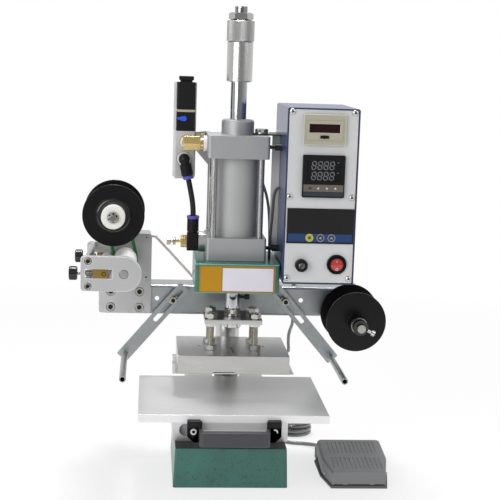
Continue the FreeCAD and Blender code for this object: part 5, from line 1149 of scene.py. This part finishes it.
def makeSprings(spec):
    length = spec["springTo"] - spec["springFrom"]
    deselectAll()
    bpy.ops.mesh.primitive_circle_add(vertices=8, radius=spec["springWire"] * mm,
                                      location=(spec["springMean"] * mm, 0, 0), rotation=(math.pi / 2, 0, 0))
    spring = bpy.context.object
    spring.name = "frontPinchSpring"
    applyPlace(spring)
    turns = spec["springTurns"]
    applyModifier(spring, "SCREW", axis="Z", steps=20, render_steps=20, iterations=turns,
                  screw_offset=(length - 2 * spec["springWire"]) / turns * mm)
    editAll(spring)
    bpy.ops.mesh.remove_doubles(threshold=1e-6)
    bpy.ops.mesh.fill_holes(sides=0)
    bpy.ops.mesh.select_all(action="SELECT")
    bpy.ops.mesh.normals_make_consistent(inside=False)
    leaveEdit()
    standOn(spring, (spec["springFrom"] + spec["springWire"], spec["front"], spec["axisHeight"]), (1, 0, 0))
    wear(spring, "springSteel")
    smoothShade(spring, 60)
    back = copyMoved(spring, (0, spec["back"] - spec["front"], 0))
    back.name = "rearPinchSpring"
    for piece, depth in ((spring, spec["front"]), (back, spec["back"])):
        settle(piece, "frame")
        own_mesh(piece)


makeKnob(pinchKnob)
makeSprings(pinchKnob)
print("pinch adjusters ready")

# screws that the solids leave out
looseScrews = {
    "panel": [(56.0, 443.0, 20), (126.8, 443.0, 65), (56.0, 347.5, 40), (126.8, 347.5, 10), (56.0, 254.3, 55),
              (126.8, 254.3, 30)],
    "panelFront": -66.2,
    "panelHead": (3.5, 2.1),
    "tabBolt": (28.0, 0.0, 413.3),
    "tabWasher": (8.0, 1.2),
    "tabEdge": 0.3,
    "tabFlats": 13.4,
    "tabTop": 5.6,
    "tabTurn": 0.3,
}
# socket screws: head radius, height and socket, seat of the first, step to the second, finish, body and slot
socketScrews = {
    "handleScrews": ((3.7, 3.6, 2.1), (-48.0, -128.6, 92.4), (90.0, 0, 0), "paleZinc", "table", "steel"),
    "plateSetScrews": ((2.2, 0.35, 1.3), (-103.7, 54.05, 279.6), (-0.1, 0, -49.3), "paleGreyAndEdgeHighlight", "frame",
                       "steel"),
    "sliderScrew": ((2.9, 1.0, 1.7), (-150.8, -64.6, 254.8), None, "pinBrown", "pinch_carrier", "brass"),
}


def makeSocketScrews(name, size, seat, step, finishName, body, slot):
    screw = makeSocketScrew(name, size, seat, finishName)
    if step:
        screw = joinAll(name, [screw, copyMoved(screw, step)])
    complete(screw, body, angle=35)


def makeLooseScrews(spec):
    front = spec["panelFront"]
    first = makePanScrew("panelScrew", *spec["panelHead"], (0, front, 0), "paleZinc")
    copies = []
    for x, z, turn in spec["panel"]:
        twin = copyMoved(first, (0, -front, 0))
        place = Matrix.Translation(Vector((x, front, z)) * mm)
        twin.matrix_world = place @ Matrix.Rotation(math.radians(turn), 4, "Y")
        applyPlace(twin)
        copies.append(twin)
    bpy.data.objects.remove(first)
    complete(joinAll("panelScrews", copies), "frame", angle=40)
    for name, row in socketScrews.items():
        makeSocketScrews(name, *row)
    x, y, z = spec["tabBolt"]
    radius, thick = spec["tabWasher"]
    washer = addRounded("tabWasher", radius, (x, y, z), (x, y, z + thick), 48, spec["tabEdge"])
    top = z + spec["tabTop"]
    head = makeHexNut("tabHead", spec["tabFlats"], (x, y, z + thick), (x, y, top), spec["tabTurn"])
    complete(wear(joinAll("tabBolt", [head, washer]), "nutSteel"), "frame", angle=30)


makeLooseScrews(looseScrews)
print("screws set")

# counter face: raised frame with the window and the reset slot through it, and the reset bar
counterFace = {
    "low": (71.6, -71.0, 411.6),
    "high": (113.4, -70.1, 433.8),
    "rim": 0.9,
    "sink": 0.5,
    "edge": 0.15,
    "window": (75.1, 419.9, 110.3, 430.1),
    "resetHole": (87.2, 413.6, 98.0, 417.4),
    "reset": (87.7, 414.0, 97.5, 417.0),
    "resetFront": -71.8,
    "resetBack": -68.9,
    "resetEdge": 0.6,
}
openingDepth = (-75, -60)


def makeCounter(spec):
    face = addBox("counterFrame", spec["low"], spec["high"])
    pickFaces(face, lambda centre, normal: normal.y < -0.9)
    bpy.ops.mesh.inset(thickness=spec["rim"] * mm)
    bpy.ops.transform.translate(value=(0, spec["sink"] * mm, 0))
    leaveEdit()
    for left, bottom, right, top in (spec["window"], spec["resetHole"]):
        near, far = openingDepth
        cutBy(face, addBox("opening", (left, near, bottom), (right, far, top)))
    roundEdges(face, spec["edge"], 2, 50)
    complete(wear(face, "creamPlastic"), "frame")
    left, bottom, right, top = spec["reset"]
    bar = addBox("resetBar", (left, spec["resetFront"], bottom), (right, spec["resetBack"], top))
    roundEdges(bar, spec["resetEdge"], 3)
    complete(wear(bar, "blackPlastic"), "reset", ("counter_reset",))


# controller face: two rows of unlit digits, the membrane keys and the strip below
controllerFace = {
    "digits": [82.3, 89.1, 95.9, 102.7],
    "rows": [383.4, 371.6],
    "floor": -68.7,
    "halfWidth": 2.15,
    "halfHeight": 4.3,
    "bar": 0.58,
    "gap": 0.3,
    "lean": 0.16,
    "keypad": ((70.8, -70.55, 353.9), (116.0, -70.1, 362.0)),
    "strip": ((70.8, -70.5, 349.0), (116.0, -70.1, 353.5)),
    "edge": 0.2,
    "keyFront": -70.55,
    "keyHeight": 357.8,
    "keyProud": 0.12,
    "barKey": 78.3,
    "barHalf": (1.9, 1.1),
    "arrowKeys": [(87.6, 90), (97.4, 180), (107.1, 0)],
    "arrowRadius": 1.7,
    "lamps": [(109.6, 387.0), (109.6, 375.2)],
    "lampHalf": (1.1, 0.45),
}
arrowEdge = 0.06


def makeArrow(name, radius, place, turn, proud):
    place = Vector(place)
    arrow = addRod(name, radius, place + Vector((0, proud, 0)), place - Vector((0, proud, 0)), 3, turn)
    roundEdges(arrow, arrowEdge, 1)
    return arrow


def makeController(spec):
    wide, tall, half = spec["halfWidth"], spec["halfHeight"], spec["bar"]
    x, z, floor = spec["digits"][0], spec["rows"][0], spec["floor"]
    lean, gap = spec["lean"], spec["gap"]
    bars = []
    for side in (-1, 1):
        for lift in (-1, 1):
            place = (x + side * wide + lean * lift * tall / 2, floor, z + lift * tall / 2)
            bars.append(makeBar("digit", tall / 2 - gap, half, place, lean))
    for lift in (-1, 0, 1):
        place = (x + lean * lift * tall, floor, z + lift * tall)
        bars.append(makeBar("digit", wide - gap, half, place, math.pi / 2))
    digit = joinAll("digit", bars)
    digits = [copyMoved(digit, (nextX - x, 0, nextZ - z))
              for nextX in spec["digits"] for nextZ in spec["rows"]]
    bpy.data.objects.remove(digit)
    lamps = [makeBar("lamp", *spec["lampHalf"], (lampX, floor, lampZ), math.pi / 2)
             for lampX, lampZ in spec["lamps"]]
    for piece in digits + lamps:
        wear(piece, "digitGrey")
    keypad = addBox("keypad", *spec["keypad"])
    strip = addBox("strip", *spec["strip"])
    for piece in (keypad, strip):
        roundEdges(piece, spec["edge"])
    wear(keypad, "keypadBeige")
    wear(strip, "keypadSlate")
    front, height, proud = spec["keyFront"], spec["keyHeight"], spec["keyProud"]
    place = (spec["barKey"], front, height)
    marks = [wear(makeBar("keyMark", *spec["barHalf"], place, math.pi / 2, proud), "keypadSlate")]
    for keyX, turn in spec["arrowKeys"]:
        place = (keyX, front, height)
        arrow = makeArrow("keyMark", spec["arrowRadius"], place, math.radians(turn), proud)
        marks.append(wear(arrow, "markPale"))
    whole = joinAll("controllerFace", digits + lamps + [keypad, strip] + marks)
    complete(whole, "frame")


# timer face: blue strip with a ring round each button, and marks on the buttons
timerFace = {
    "strip": ((55.8, -67.6, 296.6), (129.0, -67.35, 305.6)),
    "stripEdge": 0.06,
    "buttons": [80.2, 92.8, 105.4],
    "height": 301.1,
    "hole": 3.65,
    "ring": [(3.65, 0), (3.65, 0.25), (3.8, 0.35), (4.2, 0.35), (4.35, 0.25), (4.35, 0), (3.65, 0)],
    "ringBack": -67.5,
    "buttonFront": -68.2,
    "dome": [(0, 0.25), (1.2, 0.22), (1.7, 0.1), (1.7, -0.1), (0, -0.1)],
    "arrowRadius": 1.9,
    "arrowProud": 0.2,
}


def makeTimer(spec):
    strip = addBox("timerStrip", *spec["strip"])
    height, places = spec["height"], spec["buttons"]
    for x in places:
        near, far = openingDepth
        cutBy(strip, addRod("buttonHole", spec["hole"], (x, near, height), (x, far, height), 40))
    roundEdges(strip, spec["stripEdge"], 1, 60)
    wear(strip, "stripBlue")
    ring = addTurned("buttonRing", spec["ring"], (places[0], spec["ringBack"], height), forward, 48)
    rings = [ring] + [copyMoved(ring, (x - places[0], 0, 0)) for x in places[1:]]
    for piece, finishName in zip(rings, ("ringYellow", "ringGrey", "ringGrey")):
        wear(piece, finishName)
    complete(joinAll("timerFace", [strip] + rings), "frame")
    setPlace, leftPlace, rightPlace = [(x, spec["buttonFront"], height) for x in places]
    radius, proud = spec["arrowRadius"], spec["arrowProud"]
    dome = addTurned("setMark", spec["dome"], setPlace, forward, 32)
    leftMark = makeArrow("leftMark", radius, leftPlace, math.pi / 2, proud)
    rightMark = makeArrow("rightMark", radius, rightPlace, 0.0, proud)
    for piece, finishName, body in ((dome, "markOlive", "button_set"), (leftMark, "ringGrey", "button_left"),
                                    (rightMark, "ringGrey", "button_right")):
        complete(wear(piece, finishName), body)


# rocker marks: a ring below for off and a bar above for on
rockerMarks = {
    "ring": [(1.05, 0), (1.05, 0.3), (1.5, 0.3), (1.5, 0), (1.05, 0)],
    "barHalf": (1.2, 0.3),
    "offHeight": -5.0,
    "onHeight": 3.6,
    "front": -70.8,
    "proud": 0.12,
    "slope": 9.0,
}


def makeRockerMarks(spec):
    slope = math.radians(spec["slope"])
    x, z = rockerAxis
    offY = spec["front"] + abs(spec["offHeight"]) * math.tan(slope) + spec["proud"]
    out = (0, -math.cos(slope), -math.sin(slope))
    ring = addTurned("rockerOff", spec["ring"], (x, offY, z + spec["offHeight"]), out, 32)
    onY = spec["front"] + spec["onHeight"] * math.tan(slope)
    bar = makeBar("rockerOn", *spec["barHalf"], (x, onY, z + spec["onHeight"]), 0)
    for piece in (ring, bar):
        wear(piece, "markPale")
    marks = joinAll("rockerMarks", [ring, bar])
    complete(marks, "rocker")


# slotted metal insert in the fuse cap, the slot's walls black as painted shade
fuseInsert = {
    "place": (71.9, -74.5, 269.6),
    "profile": [(0, -0.6), (3.3, -0.6), (3.3, 0.15), (2.95, 0.4), (0, 0.4)],
    "slot": ((-4.3, -0.55, -0.1), (4.3, 0.55, 2)),
    "turn": 55,
}


def makeFuseInsert(spec):
    insert = wear(addTurned("fuseInsert", spec["profile"], spec["place"], forward, 40), "studSteel")
    slot = addBox("fuseSlot", *spec["slot"])
    standOn(slot, spec["place"], forward, math.radians(spec["turn"]))
    cutBy(insert, wear(slot, "recessShadeBlack"))
    complete(insert, "fuse")


makeCounter(counterFace)
makeController(controllerFace)
makeFuseInsert(fuseInsert)
makeTimer(timerFace)
makeRockerMarks(rockerMarks)
print("instruments faced")

# bare plate on the head: border, coloured field and pale field
headPlate = {
    "border": ((-43.0, -56.6, 234.2), (44.5, -55.8, 265.2)),
    "orange": ((-41.4, -56.85, 235.8), (-17.4, -56.4, 263.6)),
    "pale": ((-16.2, -56.85, 236.0), (42.0, -56.4, 262.6)),
    "edge": 0.2,
}


def makeHeadPlate(spec):
    pieces = []
    for key, finishName in (("border", "plateBorder"), ("orange", "plateOrange"), ("pale", "platePale")):
        field = addBox("headPlate", *spec[key])
        roundEdges(field, spec["edge"])
        pieces.append(wear(field, finishName))
    plate = joinAll("headPlate", pieces)
    complete(plate, "frame")


# slots moulded into the pedal's front wall
pedalSlots = {
    "places": [(128.2, 5.8), (152.4, 13.6), (177.0, 5.8)],
    "halfHeight": 0.55,
    "front": -54.0,
    "height": 4.7,
    "proud": 0.12,
}


def makePedalSlots(spec):
    front, height = spec["front"], spec["height"]
    slots = [makeBar("pedalSlot", half, spec["halfHeight"], (x, front, height), math.pi / 2, spec["proud"])
             for x, half in spec["places"]]
    complete(wear(joinAll("pedalSlots", slots), "slotShadow"), "pedal")


makeHeadPlate(headPlate)
makePedalSlots(pedalSlots)
print("plate and pedal ready")

# stage: white floor and sky, soft boxes, and the camera where the photograph was taken
studio = {
    "camera": (-0.10282, -1.44763, 0.50551),
    "yaw": 4.804,
    "pitch": 9.013,
    "roll": 1.842,
    "lens": 89.32,
    "sensor": 36,
    "floorSize": 14,
    "floorDrop": -0.0002,
    "floorTone": (0.86, 0.86, 0.86, 1),
    "floorRough": 0.9,
    "floorDusk": {"low": 0.22, "high": 1.0, "fromLow": -1.9, "fromHigh": -0.6},
    "floorFade": {"low": 0.7, "high": 1.0, "fromLow": 0.3, "fromHigh": 1.3},
    "skyStrength": 0.5,
    "skyDusk": {"low": 0.30, "high": 1.0, "fromLow": -1.0, "fromHigh": 1.0},
    "lamps": [
        ("keyLamp", (-0.10, 0.21, 1.62), (0.0, -0.06, 0.12), 0.3, 16.0),
        ("frontLamp", (-1.2, -1.45, 0.95), (0.0, 0.0, 0.25), 1.3, 20.0),
        ("fillLamp", (1.4, -0.9, 1.2), (0.0, 0.0, 0.25), 1.2, 7.0),
    ],
}


def addLamp(name, place, target, size, power):
    lamp = bpy.data.lights.new(name, "AREA")
    lamp.size = size
    lamp.energy = power
    holder = bpy.data.objects.new(name, lamp)
    holder.location = place
    holder.rotation_euler = (Vector(target) - Vector(place)).to_track_quat("-Z", "Y").to_euler()
    bpy.context.scene.collection.objects.link(holder)


def lightPathAny(tree, *labels):
    path = addNode(tree, "LightPath")
    total = path.outputs[labels[0]]
    for label in labels[1:]:
        total = mathNode(tree, "MAXIMUM", total, path.outputs[label])
    return total


def mixShader(tree, factor, first, second):
    return addNode(tree, "MixShader", {0: factor, 1: first.outputs[0], 2: second.outputs[0]})


# the floor is lit near the machine and plain white further out; reflections see it fall dark in front
def makeFloor():
    deselectAll()
    bpy.ops.mesh.primitive_plane_add(size=studio["floorSize"], location=(0, 0, 0))
    floor = bpy.context.object
    floor.name = "studioFloor"
    floor.location.z = studio["floorDrop"]
    applyPlace(floor)
    material = bpy.data.materials.new("studioFloorWhite")
    material.use_nodes = True
    tree = material.node_tree
    shader = tree.nodes["Principled BSDF"]
    shader.inputs["Base Color"].default_value = studio["floorTone"]
    shader.inputs["Roughness"].default_value = studio["floorRough"]
    place = addNode(tree, "TexCoord").outputs["Object"]
    reach = addNode(tree, "VectorMath", {0: place}, operation="LENGTH").outputs["Value"]
    depth = addNode(tree, "SeparateXYZ", {0: place}).outputs["Y"]
    direct = lightPathAny(tree, "Is Camera Ray", "Is Transmission Ray")
    level = mathNode(tree, "MAXIMUM", remap(tree, depth, **studio["floorDusk"]), direct)
    glow = addNode(tree, "Emission", {"Color": (1, 1, 1, 1), "Strength": level})
    rays = lightPathAny(tree, "Is Camera Ray", "Is Glossy Ray", "Is Transmission Ray")
    seen = mathNode(tree, "MULTIPLY", rays, remap(tree, reach, **studio["floorFade"]))
    mix = mixShader(tree, seen, shader, glow)
    tree.links.new(mix.outputs[0], tree.nodes["Material Output"].inputs["Surface"])
    floor.data.materials.append(material)


def makeSky():
    world = bpy.data.worlds.new("studioSky")
    bpy.context.scene.world = world
    world.use_nodes = True
    tree = world.node_tree
    plain = tree.nodes["Background"]
    plain.inputs["Color"].default_value = (1, 1, 1, 1)
    plain.inputs["Strength"].default_value = studio["skyStrength"]
    place = addNode(tree, "TexCoord").outputs["Generated"]
    depth = addNode(tree, "SeparateXYZ", {0: place}).outputs["Y"]
    shade = addNode(tree, "Background", {"Strength": remap(tree, depth, **studio["skyDusk"])})
    white = addNode(tree, "Background", {"Color": (1, 1, 1, 1)})
    lit = mixShader(tree, lightPathAny(tree, "Is Glossy Ray"), plain, shade)
    last = mixShader(tree, lightPathAny(tree, "Is Camera Ray", "Is Transmission Ray"), lit, white)
    tree.links.new(last.outputs[0], tree.nodes["World Output"].inputs["Surface"])


def makeCamera():
    lens = bpy.data.cameras.new("photoCamera")
    lens.lens = studio["lens"]
    lens.sensor_width = studio["sensor"]
    camera = bpy.data.objects.new("photoCamera", lens)
    yaw, pitch, roll = (math.radians(studio[key]) for key in ("yaw", "pitch", "roll"))
    ahead = Vector((math.sin(yaw) * math.cos(pitch), math.cos(yaw) * math.cos(pitch), -math.sin(pitch)))
    right = Vector((math.cos(yaw), -math.sin(yaw), 0))
    up = right.cross(ahead)
    rolledRight = right * math.cos(roll) + up * math.sin(roll)
    rolledUp = up * math.cos(roll) - right * math.sin(roll)
    turn = Matrix((rolledRight, rolledUp, -ahead)).transposed()
    camera.matrix_world = Matrix.Translation(studio["camera"]) @ turn.to_4x4()
    bpy.context.scene.collection.objects.link(camera)
    bpy.context.scene.camera = camera


makeFloor()
makeSky()
for lamp in studio["lamps"]:
    addLamp(*lamp)
makeCamera()
bpy.context.scene.view_settings.view_transform = "Standard"
print("stage ready")
